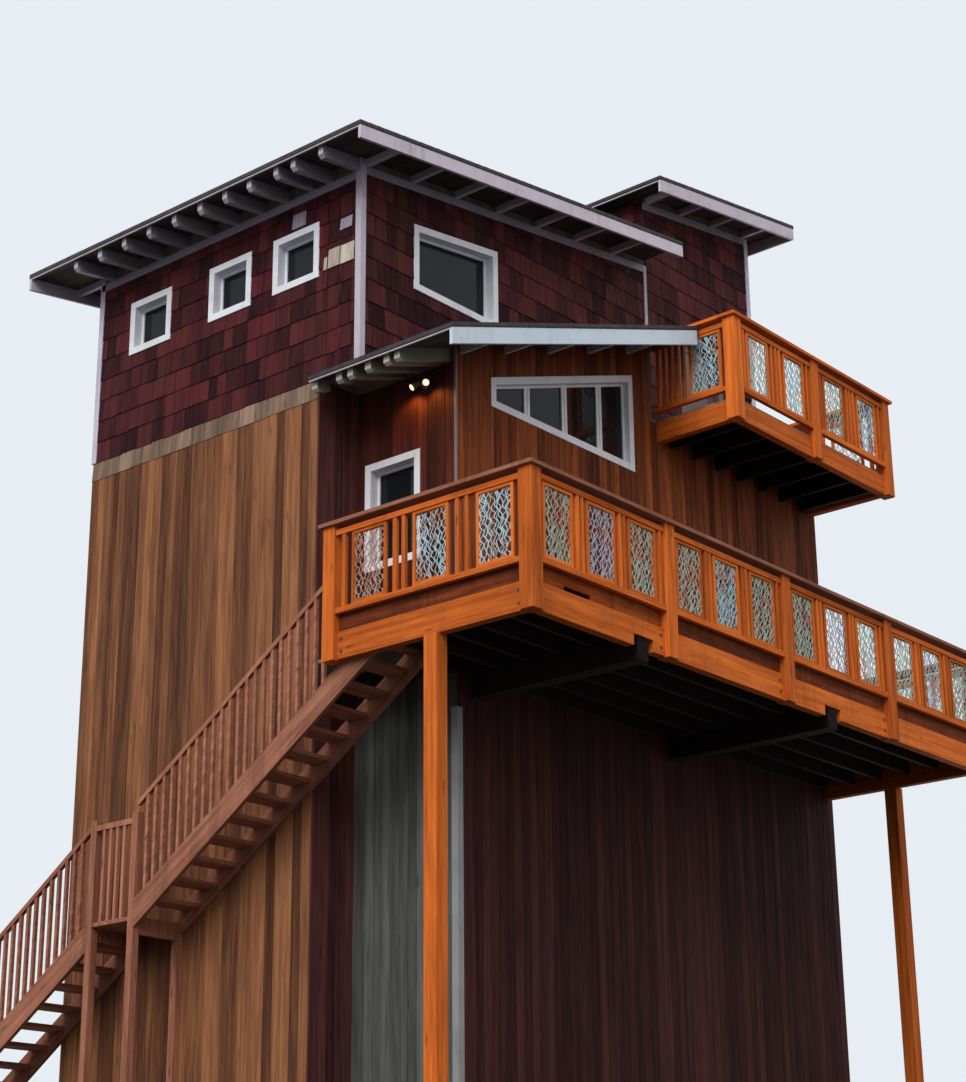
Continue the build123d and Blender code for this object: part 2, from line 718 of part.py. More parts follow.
# Lower roof over the gallery, its eave running on past the tower's corner
lower_rake_y = LONG_WALL_Y - LOWER_RAKE_OVERHANG
lower_rake_end = GALLERY_END_X - CAP_OVERHANG - ROOF_END_CLEARANCE
lower_roof = sloping_board(
    lower_roof_top, LOWER_EAVE_X, lower_rake_end, 0, ROOF_THICKNESS, lower_rake_y, LONG_WALL_Y
)
lower_roof += sloping_board(
    lower_roof_top, LOWER_EAVE_X, LOWER_HIGH_END, 0, ROOF_THICKNESS, LONG_WALL_Y, TOWER_WALL_Y
)
lower_roof += sloping_board(
    lower_roof_top, LOWER_EAVE_X, tower_board_face, 0, ROOF_THICKNESS, TOWER_WALL_Y, LOWER_EAVE_END
)
parts["lower_roof"] = lower_roof - tower_board
strip_tails = [
    cut_rafter(lower_roof_top, lower_tail_x, STAIR_WALL_X, LOWER_RAFTER_DEPTH, y, LOWER_RAFTER_WIDTH)
    for y in (TOWER_WALL_Y + CORNER_BOARD, LOWER_EAVE_END - LOWER_RAFTER_WIDTH)
]
parts["lower_roof_rafters"] = joined(lower_rafters + strip_tails)
parts["lower_roof_trim"] = rake_trim(
    lower_roof_top,
    LOWER_EAVE_X + BARGE_INSET,
    lower_rake_end,
    lower_rake_y + BARGE_INSET,
    LONG_WALL_Y,
    LOWER_FASCIA_HEIGHT,
    PORCH_WALL_X + CORNER_BOARD,
)

# Raised roof over the far block
rear_high_x = FAR_WALL_X + REAR_HIGH_OVERHANG
rear_front_y = TOWER_WALL_Y - REAR_OVERHANG
rear_back_y = BACK_WALL_Y + REAR_OVERHANG
parts["rear_roof"] = sloping_board(
    rear_roof_top, REAR_EAVE_X, rear_high_x, 0, ROOF_THICKNESS, rear_front_y, rear_back_y
)
rear_trim = []
for rake_y, wall_y in (
    (rear_front_y + BARGE_INSET, TOWER_WALL_Y),
    (rear_back_y - BARGE_INSET, BACK_WALL_Y),
):
    rear_trim.append(
        rake_trim(
            rear_roof_top,
            REAR_EAVE_X + BARGE_INSET,
            rear_high_x - BARGE_INSET,
            rake_y,
            wall_y,
            REAR_FASCIA_HEIGHT,
            BLOCK_X + CORNER_BOARD,
        )
    )
high_fascia = sloping_board(
    rear_roof_top,
    rear_high_x - BARGE_INSET - FASCIA_THICKNESS,
    rear_high_x - BARGE_INSET,
    ROOF_THICKNESS,
    REAR_FASCIA_HEIGHT,
    rear_front_y + BARGE_INSET + FASCIA_THICKNESS + FIT,
    rear_back_y - BARGE_INSET - FASCIA_THICKNESS - FIT,
)
parts["rear_roof_trim"] = joined(rear_trim + [high_fascia])

# Deck frame
rim_top = DECK_LEVEL - RIM_TOP_BELOW_FLOOR
rim_foot = rim_top - RIM_DEPTH
girder_top = rim_foot + NOTCH_DEPTH
girder_foot = girder_top - GIRDER_DEPTH
joist_top = DECK_LEVEL - FLOOR_BOARD

rim_left = block(POST_LAP, POST, POST + FIT, DECK_LEFT_END - POST_LAP, rim_foot, rim_top)
rim_right = block(POST_LAP, DECK_LENGTH - POST_LAP, POST_LAP, POST, rim_foot, rim_top)
for x in DECK_GIRDERS_X:
    middle = x + GIRDER_WIDTH / 2
    rim_right -= block(
        middle - NOTCH_WIDTH / 2, middle + NOTCH_WIDTH / 2, 0, POST, rim_foot - FIT, girder_top
    )
rim_end = block(DECK_LENGTH - POST, DECK_LENGTH - POST_LAP, POST + FIT, LONG_WALL_Y, rim_foot, rim_top)
parts["deck_rim_left"] = rim_left
parts["deck_rim_right"] = rim_right
parts["deck_rim_end"] = rim_end

parts["deck_girders"] = joined(
    [
        block(x, x + GIRDER_WIDTH, GIRDER_SETBACK, LONG_WALL_Y, girder_foot, girder_top)
        for x in DECK_GIRDERS_X
    ]
)

# Joists run the deck's length over the girders, stopping at the stairwell's trimmer
joists = []
for y in spaced(POST + JOIST_WIDTH, LONG_WALL_Y - JOIST_WIDTH, JOIST_COUNT):
    x0 = POST if y + JOIST_WIDTH < STAIR_TOP_Y else STAIR_WALL_X + JOIST_WIDTH
    joists.append(block(x0, DECK_LENGTH - POST, y, y + JOIST_WIDTH, girder_top, joist_top))
header_y = STAIR_TOP_Y - JOIST_WIDTH
joists.append(
    block(STAIR_WALL_X, STAIR_WALL_X + JOIST_WIDTH, header_y, RETURN_WALL_Y, girder_top, joist_top)
)
joists.append(block(POST, STAIR_WALL_X - FIT, header_y, STAIR_TOP_Y, girder_top, joist_top))
for y in spaced(LONG_WALL_Y + JOIST_WIDTH, RETURN_WALL_Y - 2 * JOIST_WIDTH, PORCH_JOIST_COUNT):
    joists.append(
        block(STAIR_WALL_X + JOIST_WIDTH, PORCH_WALL_X, y, y + JOIST_WIDTH, girder_top, joist_top)
    )
parts["deck_joists"] = joined(joists)


# Guard posts, each notched round the rim so that its outer face laps over it
def guard_post_columns(bays, length):
    return spaced(0, length - POST, bays + 1)


deck_posts_x = guard_post_columns(DECK_BAYS, DECK_LENGTH)
post_foot = rim_foot - POST_DROP
post_head = DECK_LEVEL + GUARD_HEIGHT - CAP_THICKNESS
deck_posts = [block(x, x + POST, 0, POST, post_foot, post_head) for x in deck_posts_x]
deck_posts.append(block(0, POST, DECK_LEFT_END - POST, DECK_LEFT_END, post_foot, post_head))
for rim in (rim_left, rim_right, rim_end):
    deck_posts = [post - rim for post in deck_posts]
parts["deck_guard_posts"] = joined(deck_posts)

skirt_in = SKIRT_SETBACK + SKIRT_THICKNESS
skirt_top = DECK_LEVEL + BOTTOM_RAIL_RISE + SKIRT_BEHIND_RAIL
deck_floor = block(
    skirt_in, DECK_LENGTH - skirt_in, skirt_in, LONG_WALL_Y, joist_top, DECK_LEVEL
)
deck_floor += block(STAIR_WALL_X, PORCH_WALL_X, LONG_WALL_Y, RETURN_WALL_Y, joist_top, DECK_LEVEL)
deck_floor -= block(0, STAIR_WALL_X, STAIR_TOP_Y, RETURN_WALL_Y, joist_top, DECK_LEVEL)
for post in deck_posts:
    deck_floor -= post
parts["deck_floor"] = deck_floor

# Skirt boards stand on the rims against the floor's edge and close the guard's foot off
skirts = [block(SKIRT_SETBACK, skirt_in, POST, DECK_LEFT_END - POST, rim_top, skirt_top)]
for x0, x1 in zip(deck_posts_x, deck_posts_x[1:]):
    skirts.append(block(x0 + POST, x1, SKIRT_SETBACK, skirt_in, rim_top, skirt_top))
skirts.append(
    block(
        DECK_LENGTH - skirt_in, DECK_LENGTH - SKIRT_SETBACK, POST, LONG_WALL_Y, rim_top, skirt_top
    )
)
parts["deck_skirts"] = joined(skirts)
support_posts_x = (SUPPORT_POST_SETBACK, DECK_LENGTH - SUPPORT_POST_SETBACK - POST)
parts["support_posts"] = joined(
    [
        block(x, x + POST, SUPPORT_POST_Y, SUPPORT_POST_Y + POST, 0, rim_foot)
        for x in support_posts_x
    ]
)


# Lattice panels: a frame filled with thin stems that sway across each other
def stem(width, height, centre, sway, phase):
    """One upright stem as a bent band, its ends let into the frame above and below."""
    left = []
    right = []
    for i in range(STEM_BENDS + 1):
        v = -STEM_TENON + (height + 2 * STEM_TENON) * i / STEM_BENDS
        u = centre + sway * sin(radians(180 * i + phase)) * width
        left.append((u - STEM_WIDTH / 2, v))
        right.append((u + STEM_WIDTH / 2, v))
    return make_face(Polyline(left + right[::-1], close=True))


def lattice_panel(panel_width, panel_height):
    """A framed panel standing in the XY plane with its lower left corner at the origin."""
    width = panel_width - 2 * PANEL_FRAME
    height = panel_height - 2 * PANEL_FRAME
    frame = flat_plate(rectangle(0, panel_width, 0, panel_height), PANEL_THICKNESS)
    frame -= block(
        PANEL_FRAME, PANEL_FRAME + width, PANEL_FRAME, PANEL_FRAME + height, 0, PANEL_THICKNESS
    )
    lift = (PANEL_THICKNESS - LATTICE_THICKNESS) / 2
    panel = frame
    for i in range(STEM_PAIRS):
        centre = width * (i + 0.5) / STEM_PAIRS
        pair = Sketch()
        for phase in (90, 270):
            pair += stem(width, height, centre, STEM_SWAY / STEM_PAIRS, phase)
        bands = extrude(pair, amount=LATTICE_THICKNESS, dir=(0, 0, 1))
        panel += Pos(PANEL_FRAME, PANEL_FRAME, lift) * bands
    return panel


def guard_heights(floor_level):
    """Foot and head of the filling between a guard's bottom rail and its upper rail."""
    foot = floor_level + BOTTOM_RAIL_RISE + RAIL_HEIGHT
    head = floor_level + GUARD_HEIGHT - CAP_THICKNESS - CAP_GAP - RAIL_HEIGHT
    return foot, head


panel_foot, panel_head = guard_heights(0)
guard_panel = lattice_panel(PANEL_WIDTH, panel_head - panel_foot)


def bay_layout(length, gaps):
    """Where panels and balusters start along a bay.

    gaps says how many balusters stand before, between and after the panels. The room that the
    panels leave is shared out so that a gap with more balusters is wider.
    """
    spare = length - (len(gaps) - 1) * PANEL_WIDTH
    share = spare / sum(count + GAP_ALLOWANCE for count in gaps)
    panel_starts = []
    baluster_starts = []
    cursor = 0
    for count in gaps:
        gap = share * (count + GAP_ALLOWANCE)
        for i in range(count):
            middle = cursor + gap * (i + 1) / (count + 1)
            baluster_starts.append(middle - BALUSTER / 2)
        cursor += gap
        panel_starts.append(cursor)
        cursor += PANEL_WIDTH
    return panel_starts[:-1], baluster_starts


def guard_bay(side, start, length, floor_level, gaps):
    """Rails, balusters and panels of one bay, built along a wall plane's u direction."""
    foot, head = guard_heights(floor_level)
    rail_out = -RAIL_INSET - RAIL_WIDTH
    rails = [
        block(start, start + length, foot - RAIL_HEIGHT, foot, rail_out, -RAIL_INSET),
        block(start, start + length, head, head + RAIL_HEIGHT, rail_out, -RAIL_INSET),
    ]
    middle = -RAIL_INSET - RAIL_WIDTH / 2
    panel_starts, baluster_starts = bay_layout(length, gaps)
    panels_made = [
        Pos(start + u, foot, middle - PANEL_THICKNESS / 2) * guard_panel for u in panel_starts
    ]
    balusters = [
        block(
            start + u,
            start + u + BALUSTER,
            foot,
            head,
            middle - BALUSTER / 2,
            middle + BALUSTER / 2,
        )
        for u in baluster_starts
    ]
    return tuple([side * shape for shape in shapes] for shapes in (rails, balusters, panels_made))


def cap_rail(x0, x1, y0, y1, floor_level):
    head = floor_level + GUARD_HEIGHT
    return block(x0, x1, y0, y1, head - CAP_THICKNESS, head)


deck_rails = []
deck_balusters = []
left_length = DECK_LEFT_END - 2 * POST
rails, balusters, left_panels = guard_bay(
    stair_side(0), -DECK_LEFT_END + POST, left_length, DECK_LEVEL, DECK_BAY_COUNTS[::-1]
)
deck_rails += rails
deck_balusters += balusters
right_panels = []
for x0, x1 in zip(deck_posts_x, deck_posts_x[1:]):
    rails, balusters, panels_made = guard_bay(
        long_side(0), x0 + POST, x1 - x0 - POST, DECK_LEVEL, DECK_BAY_COUNTS
    )
    deck_rails += rails
    deck_balusters += balusters
    right_panels += panels_made
rails, balusters, end_panels = guard_bay(
    far_side(DECK_LENGTH), POST, LONG_WALL_Y - POST, DECK_LEVEL, DECK_BAY_COUNTS
)
deck_rails += rails
deck_balusters += balusters
parts["deck_rails"] = joined(deck_rails)
parts["deck_balusters"] = joined(deck_balusters)
parts["deck_panels_left"] = joined(left_panels)
parts["deck_panels_right"] = joined(right_panels)
parts["deck_panels_end"] = joined(end_panels)

cap_in = CAP_WIDTH - CAP_OVERHANG
parts["deck_cap_rail"] = joined(
    [
        cap_rail(-CAP_OVERHANG, DECK_LENGTH + CAP_OVERHANG, -CAP_OVERHANG, cap_in, DECK_LEVEL),
        cap_rail(-CAP_OVERHANG, cap_in, cap_in + FIT, DECK_LEFT_END + CAP_OVERHANG, DECK_LEVEL),
        cap_rail(
            DECK_LENGTH - cap_in,
            DECK_LENGTH + CAP_OVERHANG,
            cap_in + FIT,
            LONG_WALL_Y,
            DECK_LEVEL,
        ),
    ]
)

# Balcony on the long side, its joists running back over the long wall to the tower
balcony_length = FAR_WALL_X - GALLERY_END_X
balcony_posts_x = [GALLERY_END_X + x for x in guard_post_columns(BALCONY_BAYS, balcony_length)]
balcony_rim_in = BALCONY_FRONT_Y + POST
balcony_rims = [
    block(
        GALLERY_END_X + POST_LAP,
        FAR_WALL_X - POST_LAP,
        BALCONY_FRONT_Y + POST_LAP,
        balcony_rim_in,
        balcony_rim_foot,
        balcony_rim_top,
    )
]
for x in (GALLERY_END_X + POST_LAP, FAR_WALL_X - POST):
    balcony_rims.append(
        block(
            x,
            x + RIM_THICKNESS,
            balcony_rim_in + FIT,
            LONG_WALL_Y,
            balcony_rim_foot,
            balcony_rim_top,
        )
    )
parts["balcony_rim"] = joined(balcony_rims)
parts["balcony_joists"] = joined(balcony_joists)
balcony_posts = []
for x in balcony_posts_x:
    post = block(
        x,
        x + POST,
        BALCONY_FRONT_Y,
        BALCONY_FRONT_Y + POST,
        balcony_rim_foot - POST_DROP,
        UPPER_LEVEL + GUARD_HEIGHT - CAP_THICKNESS,
    )
    for rim in balcony_rims:
        post -= rim
    balcony_posts.append(post)
parts["balcony_guard_posts"] = joined(balcony_posts)
balcony_floor = block(
    GALLERY_END_X, FAR_WALL_X, LONG_WALL_Y, TOWER_WALL_Y, balcony_rim_top, UPPER_LEVEL
) + block(
    GALLERY_END_X + SKIRT_SETBACK,
    FAR_WALL_X - SKIRT_SETBACK,
    BALCONY_FRONT_Y + SKIRT_SETBACK,
    LONG_WALL_Y,
    balcony_rim_top,
    UPPER_LEVEL,
)
for post in balcony_posts:
    balcony_floor -= post
parts["balcony_floor"] = balcony_floor

balcony_rails = []
balcony_balusters = []
balcony_panels = []
for x0, x1 in zip(balcony_posts_x, balcony_posts_x[1:]):
    rails, balusters, panels_made = guard_bay(
        long_side(BALCONY_FRONT_Y), x0 + POST, x1 - x0 - POST, UPPER_LEVEL, BALCONY_BAY_COUNTS
    )
    balcony_rails += rails
    balcony_balusters += balusters
    balcony_panels += panels_made
side_start = BALCONY_FRONT_Y + POST
balcony_ends = (
    (stair_side(GALLERY_END_X), -LONG_WALL_Y, LONG_WALL_Y - side_start, BALCONY_END_BAY_COUNTS[::-1]),
    (far_side(FAR_WALL_X), side_start, TOWER_WALL_Y - side_start, BALCONY_BAY_COUNTS),
)
for side, start, length, gaps in balcony_ends:
    rails, balusters, panels_made = guard_bay(side, start, length, UPPER_LEVEL, gaps)
    balcony_rails += rails
    balcony_balusters += balusters
    balcony_panels += panels_made
parts["balcony_rails"] = joined(
    balcony_rails
    + [
        cap_rail(
            GALLERY_END_X - CAP_OVERHANG,
            FAR_WALL_X + CAP_OVERHANG,
            BALCONY_FRONT_Y - CAP_OVERHANG,
            BALCONY_FRONT_Y + cap_in,
            UPPER_LEVEL,
        ),
        cap_rail(
            GALLERY_END_X - CAP_OVERHANG,
            GALLERY_END_X + cap_in,
            BALCONY_FRONT_Y + cap_in + FIT,
            LONG_WALL_Y,
            UPPER_LEVEL,
        ),
        cap_rail(
            FAR_WALL_X - cap_in,
            FAR_WALL_X + CAP_OVERHANG,
            BALCONY_FRONT_Y + cap_in + FIT,
            TOWER_WALL_Y,
            UPPER_LEVEL,
        ),
    ]
)
parts["balcony_balusters"] = joined(balcony_balusters)
parts["balcony_panels"] = joined(balcony_panels)

# Stair: it starts in a well behind the left guard and runs down beside the long tan wall, in
# two flights with a landing between
riser = DECK_LEVEL / (UPPER_RISERS + LOWER_RISERS)
slope = riser / STAIR_GOING
stair_x0 = POST
stair_x1 = STAIR_WALL_X - FIT
upper_run = (UPPER_RISERS - 1) * STAIR_GOING
lower_run = (LOWER_RISERS - 1) * STAIR_GOING
landing_y = STAIR_TOP_Y + upper_run
landing_level = LOWER_RISERS * riser
lower_y = landing_y + LANDING_LENGTH
stair_foot_y = lower_y + lower_run
flights = ((STAIR_TOP_Y, DECK_LEVEL, UPPER_RISERS), (lower_y, landing_level, LOWER_RISERS))

treads = []
stringers = []
for start_y, start_level, risers in flights:
    for i in range(1, risers):
        level = start_level - i * riser
        y = start_y + (i - 1) * STAIR_GOING
        treads.append(
            block(
                stair_x0 + STRINGER_WIDTH,
                stair_x1 - STRINGER_WIDTH,
                y,
                y + STAIR_GOING,
                level - TREAD_THICKNESS,
                level,
            )
        )
    end_y = start_y + (risers - 1) * STAIR_GOING
    end_level = start_level - (risers - 1) * riser
    plank = slab_along_x(
        [
            (start_y, start_level),
            (end_y, end_level),
            (end_y, end_level - STRINGER_DEPTH),
            (start_y, start_level - STRINGER_DEPTH),
        ],
        stair_x0,
        stair_x0 + STRINGER_WIDTH,
    )
    plank &= block(0, FAR_WALL_X, start_y, end_y, 0, start_level - FLOOR_BOARD)
    stringers.append(plank)
    stringers.append(Pos(stair_x1 - stair_x0 - STRINGER_WIDTH, 0, 0) * plank)
parts["stair_treads"] = joined(treads)
parts["stair_stringers"] = joined(stringers)

landing_posts_y = (landing_y, lower_y - STAIR_POST)
landing = block(
    stair_x0, stair_x1, landing_y, lower_y, landing_level - LANDING_THICKNESS, landing_level
)
for y in (landing_y, lower_y - STRINGER_WIDTH):
    landing += block(
        stair_x0, stair_x1, y, y + STRINGER_WIDTH, landing_level - LANDING_JOIST_DEPTH, landing_level
    )
newel_head = landing_level + GUARD_HEIGHT + STAIR_POST_TOP
for y in landing_posts_y:
    landing += block(stair_x0, stair_x0 + STAIR_POST, y, y + STAIR_POST, 0, newel_head)
    landing += block(stair_x1 - STAIR_POST, stair_x1, y, y + STAIR_POST, 0, landing_level)
parts["stair_landing"] = landing

# The stair's guard on its open side: a sloping rail over square balusters on the stringer
rail_x0 = stair_x0 + STRINGER_WIDTH / 2 - HANDRAIL / 2
baluster_x0 = stair_x0 + STRINGER_WIDTH / 2 - STAIR_BALUSTER / 2


def stair_guard_run(start_y, start_level, length, fall_rate):
    """A handrail and its balusters over a walking line that falls by fall_rate."""
    end_level = start_level - length * fall_rate
    head = GUARD_HEIGHT
    rail = slab_along_x(
        [
            (start_y, start_level + head),
            (start_y + length, end_level + head),
            (start_y + length, end_level + head - RAIL_HEIGHT),
            (start_y, start_level + head - RAIL_HEIGHT),
        ],
        rail_x0,
        rail_x0 + HANDRAIL,
    )
    count = int(length / STAIR_BALUSTER_PITCH)
    for i in range(count):
        y = start_y + (length - STAIR_BALUSTER) * (i + 1) / (count + 1)
        level = start_level - (y - start_y) * fall_rate
        drop = STAIR_BALUSTER * fall_rate
        baluster = slab_along_x(
            [
                (y, level),
                (y + STAIR_BALUSTER, level - drop),
                (y + STAIR_BALUSTER, level - drop + head - RAIL_HEIGHT),
                (y, level + head - RAIL_HEIGHT),
            ],
            baluster_x0,
            baluster_x0 + STAIR_BALUSTER,
        )
        rail += baluster
    return rail


guard_start = DECK_LEFT_END
upper_guard = stair_guard_run(
    guard_start, DECK_LEVEL - (guard_start - STAIR_TOP_Y) * slope, landing_y - guard_start, slope
)
landing_guard = stair_guard_run(
    landing_y + STAIR_POST, landing_level, LANDING_LENGTH - 2 * STAIR_POST, 0
)
lower_guard = stair_guard_run(lower_y, landing_level, lower_run, slope)
foot_newel = block(
    stair_x0,
    stair_x0 + STAIR_POST,
    stair_foot_y,
    stair_foot_y + STAIR_POST,
    0,
    riser + GUARD_HEIGHT + STAIR_POST_TOP,
)
parts["stair_guard"] = joined([upper_guard, landing_guard, lower_guard + foot_newel])

# Twin lamp on the porch wall, under the lower eave
lamp_z = lower_roof_foot(PORCH_WALL_X) - LAMP_BELOW_ROOF
lamp = Pos(PORCH_WALL_X - LAMP_PLATE_THICKNESS / 2, LAMP_Y, lamp_z) * (
    Rot(0, 90, 0) * Cylinder(LAMP_PLATE_RADIUS, LAMP_PLATE_THICKNESS)
)
for side in (-1, 1):
    root = Vector(PORCH_WALL_X - LAMP_PLATE_THICKNESS / 2, LAMP_Y, lamp_z)
    tip = root + Vector(-LAMP_ARM_REACH, side * LAMP_SPREAD, 0)
    arm_plane = Plane(origin=root, z_dir=(tip - root))
    lamp += extrude(arm_plane * Circle(LAMP_ARM_RADIUS), amount=(tip - root).length)
    aim_x, aim_y, aim_z = LAMP_HOOD_AIM
    hood_axis = Vector(aim_x, side * aim_y, aim_z).normalized()
    hood_plane = Plane(
        origin=tip - hood_axis * LAMP_HOOD_LENGTH * LAMP_HOOD_OVERLAP_SHARE, z_dir=hood_axis
    )
    hood = loft(
        [
            hood_plane * Circle(LAMP_HOOD_RADIUS * LAMP_HOOD_BACK_SHARE),
            hood_plane.offset(LAMP_HOOD_LENGTH) * Circle(LAMP_HOOD_RADIUS),
        ]
    )
    lamp += hood
parts["eave_lamp"] = lamp

# The origin goes under the middle of the finished house
boxes = [shape.bounding_box() for shape in parts.values()]
middle_x = (min(box.min.X for box in boxes) + max(box.max.X for box in boxes)) / 2
middle_y = (min(box.min.Y for box in boxes) + max(box.max.Y for box in boxes)) / 2
foot = min(box.min.Z for box in boxes)
os.makedirs("parts", exist_ok=True)
for name, shape in parts.items():
    export_step(Pos(-middle_x, -middle_y, -foot) * shape, f"parts/{name}.step")
print("middle of the house from the deck corner:", round(middle_x, 1), round(middle_y, 1))
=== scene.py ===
import math
import random

import bpy
import numpy as np
from mathutils import Matrix, Vector


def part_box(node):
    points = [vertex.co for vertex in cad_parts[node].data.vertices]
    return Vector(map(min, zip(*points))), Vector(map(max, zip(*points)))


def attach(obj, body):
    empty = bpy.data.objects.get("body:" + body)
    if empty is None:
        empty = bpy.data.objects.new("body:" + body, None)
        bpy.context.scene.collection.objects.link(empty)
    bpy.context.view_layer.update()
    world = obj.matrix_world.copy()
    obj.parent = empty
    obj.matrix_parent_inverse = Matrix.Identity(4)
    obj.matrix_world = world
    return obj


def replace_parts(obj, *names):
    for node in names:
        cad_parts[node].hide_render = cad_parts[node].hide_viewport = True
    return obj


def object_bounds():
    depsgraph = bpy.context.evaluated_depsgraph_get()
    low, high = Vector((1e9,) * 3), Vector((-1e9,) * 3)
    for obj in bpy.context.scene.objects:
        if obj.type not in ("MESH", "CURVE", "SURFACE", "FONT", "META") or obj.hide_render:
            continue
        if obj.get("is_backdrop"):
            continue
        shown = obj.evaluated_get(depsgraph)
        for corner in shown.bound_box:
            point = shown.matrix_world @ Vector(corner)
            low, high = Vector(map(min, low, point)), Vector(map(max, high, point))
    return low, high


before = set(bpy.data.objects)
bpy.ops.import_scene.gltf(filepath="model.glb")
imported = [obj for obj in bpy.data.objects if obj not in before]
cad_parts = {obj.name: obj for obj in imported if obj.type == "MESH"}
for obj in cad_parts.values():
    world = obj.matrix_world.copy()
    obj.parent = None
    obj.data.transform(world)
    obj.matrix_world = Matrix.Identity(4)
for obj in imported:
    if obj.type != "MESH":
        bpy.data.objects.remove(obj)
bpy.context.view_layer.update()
bpy.ops.object.select_all(action="DESELECT")

# The viewpoint. The camera stands on the slope below the house, 1.7 m under the lowest ground,
# and looks up at the outer corner of the deck.
SENSOR = 36
PHOTO_LONG_SIDE = 1082
FOCAL_PIXELS = 2188
VIEWPOINT = Vector((-19.374, -16.696, -1.744))
HEADING = math.radians(40.18)
TILT = math.radians(19.87)
ROLL = math.radians(-0.53)
VIEW_DEPTH = 200
quarter = math.radians(90)
bpy.ops.object.camera_add(location=VIEWPOINT)
camera = bpy.context.object
camera.name = "viewpoint"
camera.data.sensor_width = SENSOR
camera.data.lens = FOCAL_PIXELS / PHOTO_LONG_SIDE * SENSOR
camera.data.clip_end = VIEW_DEPTH
aim = Matrix.Rotation(HEADING - quarter, 3, "Z") @ Matrix.Rotation(quarter + TILT, 3, "X")
camera.rotation_euler = (aim @ Matrix.Rotation(ROLL, 3, "Z")).to_euler()
bpy.context.scene.camera = camera
bpy.context.scene.view_settings.view_transform = "Standard"


# The studio. A pale floor that is seen only from above, because the camera stands lower, a
# plain pale background, and soft lamps from the side that the photograph is lit from.
def feed(tree, node, inputs):
    """Gives each named input of a node a value or another node's output."""
    for socket, value in inputs.items():
        if isinstance(value, bpy.types.NodeSocket):
            tree.links.new(value, node.inputs[socket])
        else:
            node.inputs[socket].default_value = value


def add(tree, kind, inputs=None, **settings):
    """A new node with its settings and its inputs."""
    made = tree.nodes.new(kind)
    for name, value in settings.items():
        setattr(made, name, value)
    feed(tree, made, inputs or {})
    return made


def worked_out(tree, operation, first, second):
    return add(tree, "ShaderNodeMath", {0: first, 1: second}, operation=operation).outputs[0]


def shown_plainly(tree):
    """1 where the background is seen directly, in gloss or through glass, and 0 where it lights."""
    path = add(tree, "ShaderNodeLightPath").outputs
    seen = worked_out(tree, "MAXIMUM", path["Is Camera Ray"], path["Is Glossy Ray"])
    return worked_out(tree, "MAXIMUM", seen, path["Is Transmission Ray"])


BACKDROP = (0.80, 0.85, 0.90, 1)
SKYLIGHT = (0.92, 0.95, 1.0, 1)
SKYLIGHT_STRENGTH = 0.62
FLOOR_PALE = (0.78, 0.80, 0.81, 1)
FLOOR_EARTH = (0.03, 0.03, 0.025, 1)
FLOOR_RADIUS = 45
FLOOR_CORNERS = 96

world = bpy.data.worlds.new("overcast")
bpy.context.scene.world = world
world.use_nodes = True
tree = world.node_tree
tree.nodes.clear()
soft = add(tree, "ShaderNodeBackground", {"Color": SKYLIGHT, "Strength": SKYLIGHT_STRENGTH})
plain = add(tree, "ShaderNodeBackground", {"Color": BACKDROP, "Strength": 1.0})
either = add(tree, "ShaderNodeMixShader", {0: shown_plainly(tree), 1: soft.outputs[0], 2: plain.outputs[0]})
add(tree, "ShaderNodeOutputWorld", {"Surface": either.outputs[0]})

bpy.ops.mesh.primitive_circle_add(vertices=FLOOR_CORNERS, radius=FLOOR_RADIUS, fill_type="NGON")
floor = bpy.context.object
floor.name = "floor"
floor_finish = bpy.data.materials.new("pale floor")
floor_finish.use_nodes = True
tree = floor_finish.node_tree
tree.nodes.clear()
pale = add(tree, "ShaderNodeBsdfDiffuse", {"Color": FLOOR_PALE})
earth = add(tree, "ShaderNodeBsdfDiffuse", {"Color": FLOOR_EARTH})
upper_side = add(tree, "ShaderNodeMixShader",
                 {0: shown_plainly(tree), 1: earth.outputs[0], 2: pale.outputs[0]})
under_side = add(tree, "ShaderNodeBsdfTransparent")
facing = add(tree, "ShaderNodeNewGeometry")
both = add(tree, "ShaderNodeMixShader",
           {0: facing.outputs["Backfacing"], 1: upper_side.outputs[0], 2: under_side.outputs[0]})
add(tree, "ShaderNodeOutputMaterial", {"Surface": both.outputs[0]})
floor.data.materials.append(floor_finish)
floor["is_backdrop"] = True

# Each lamp: the direction that its light comes from, strength, softness in degrees and colour
LAMPS = {
    "key": ((-0.80, -0.28, 0.62), 2.7, 45, (1.0, 0.97, 0.93)),
    "fill": ((0.15, -0.95, 0.45), 0.42, 60, (1.0, 0.88, 0.74)),
    "rear": ((0.75, 0.65, 0.55), 1.3, 60, (0.95, 0.97, 1.0)),
}
for name, (direction, strength, softness, colour) in LAMPS.items():
    bpy.ops.object.light_add(type="SUN")
    lamp = bpy.context.object
    lamp.name = name
    lamp.data.energy = strength
    lamp.data.angle = math.radians(softness)
    lamp.data.color = colour
    lamp.rotation_euler = Vector(direction).to_track_quat("Z", "Y").to_euler()


# Framed walls and floors. Studs, joists and sheathing behind the boards and shingles; only their
# lining shows, through the windows, so the solids keep their shape and get a dull timber lining.
def spread(tree, value, low, high, new_low=0.0, new_high=1.0):
    """Maps a value's useful range onto a new one, kept within it."""
    return add(tree, "ShaderNodeMapRange", {"Value": value, "From Min": low, "From Max": high,
                                            "To Min": new_low, "To Max": new_high}).outputs[0]


def mixed(tree, factor, first, second):
    return add(tree, "ShaderNodeMix", {0: factor, 6: first, 7: second}, data_type="RGBA").outputs[2]


def stretched(tree, vector, by):
    return add(tree, "ShaderNodeVectorMath", {0: vector, 1: by}, operation="MULTIPLY").outputs[0]


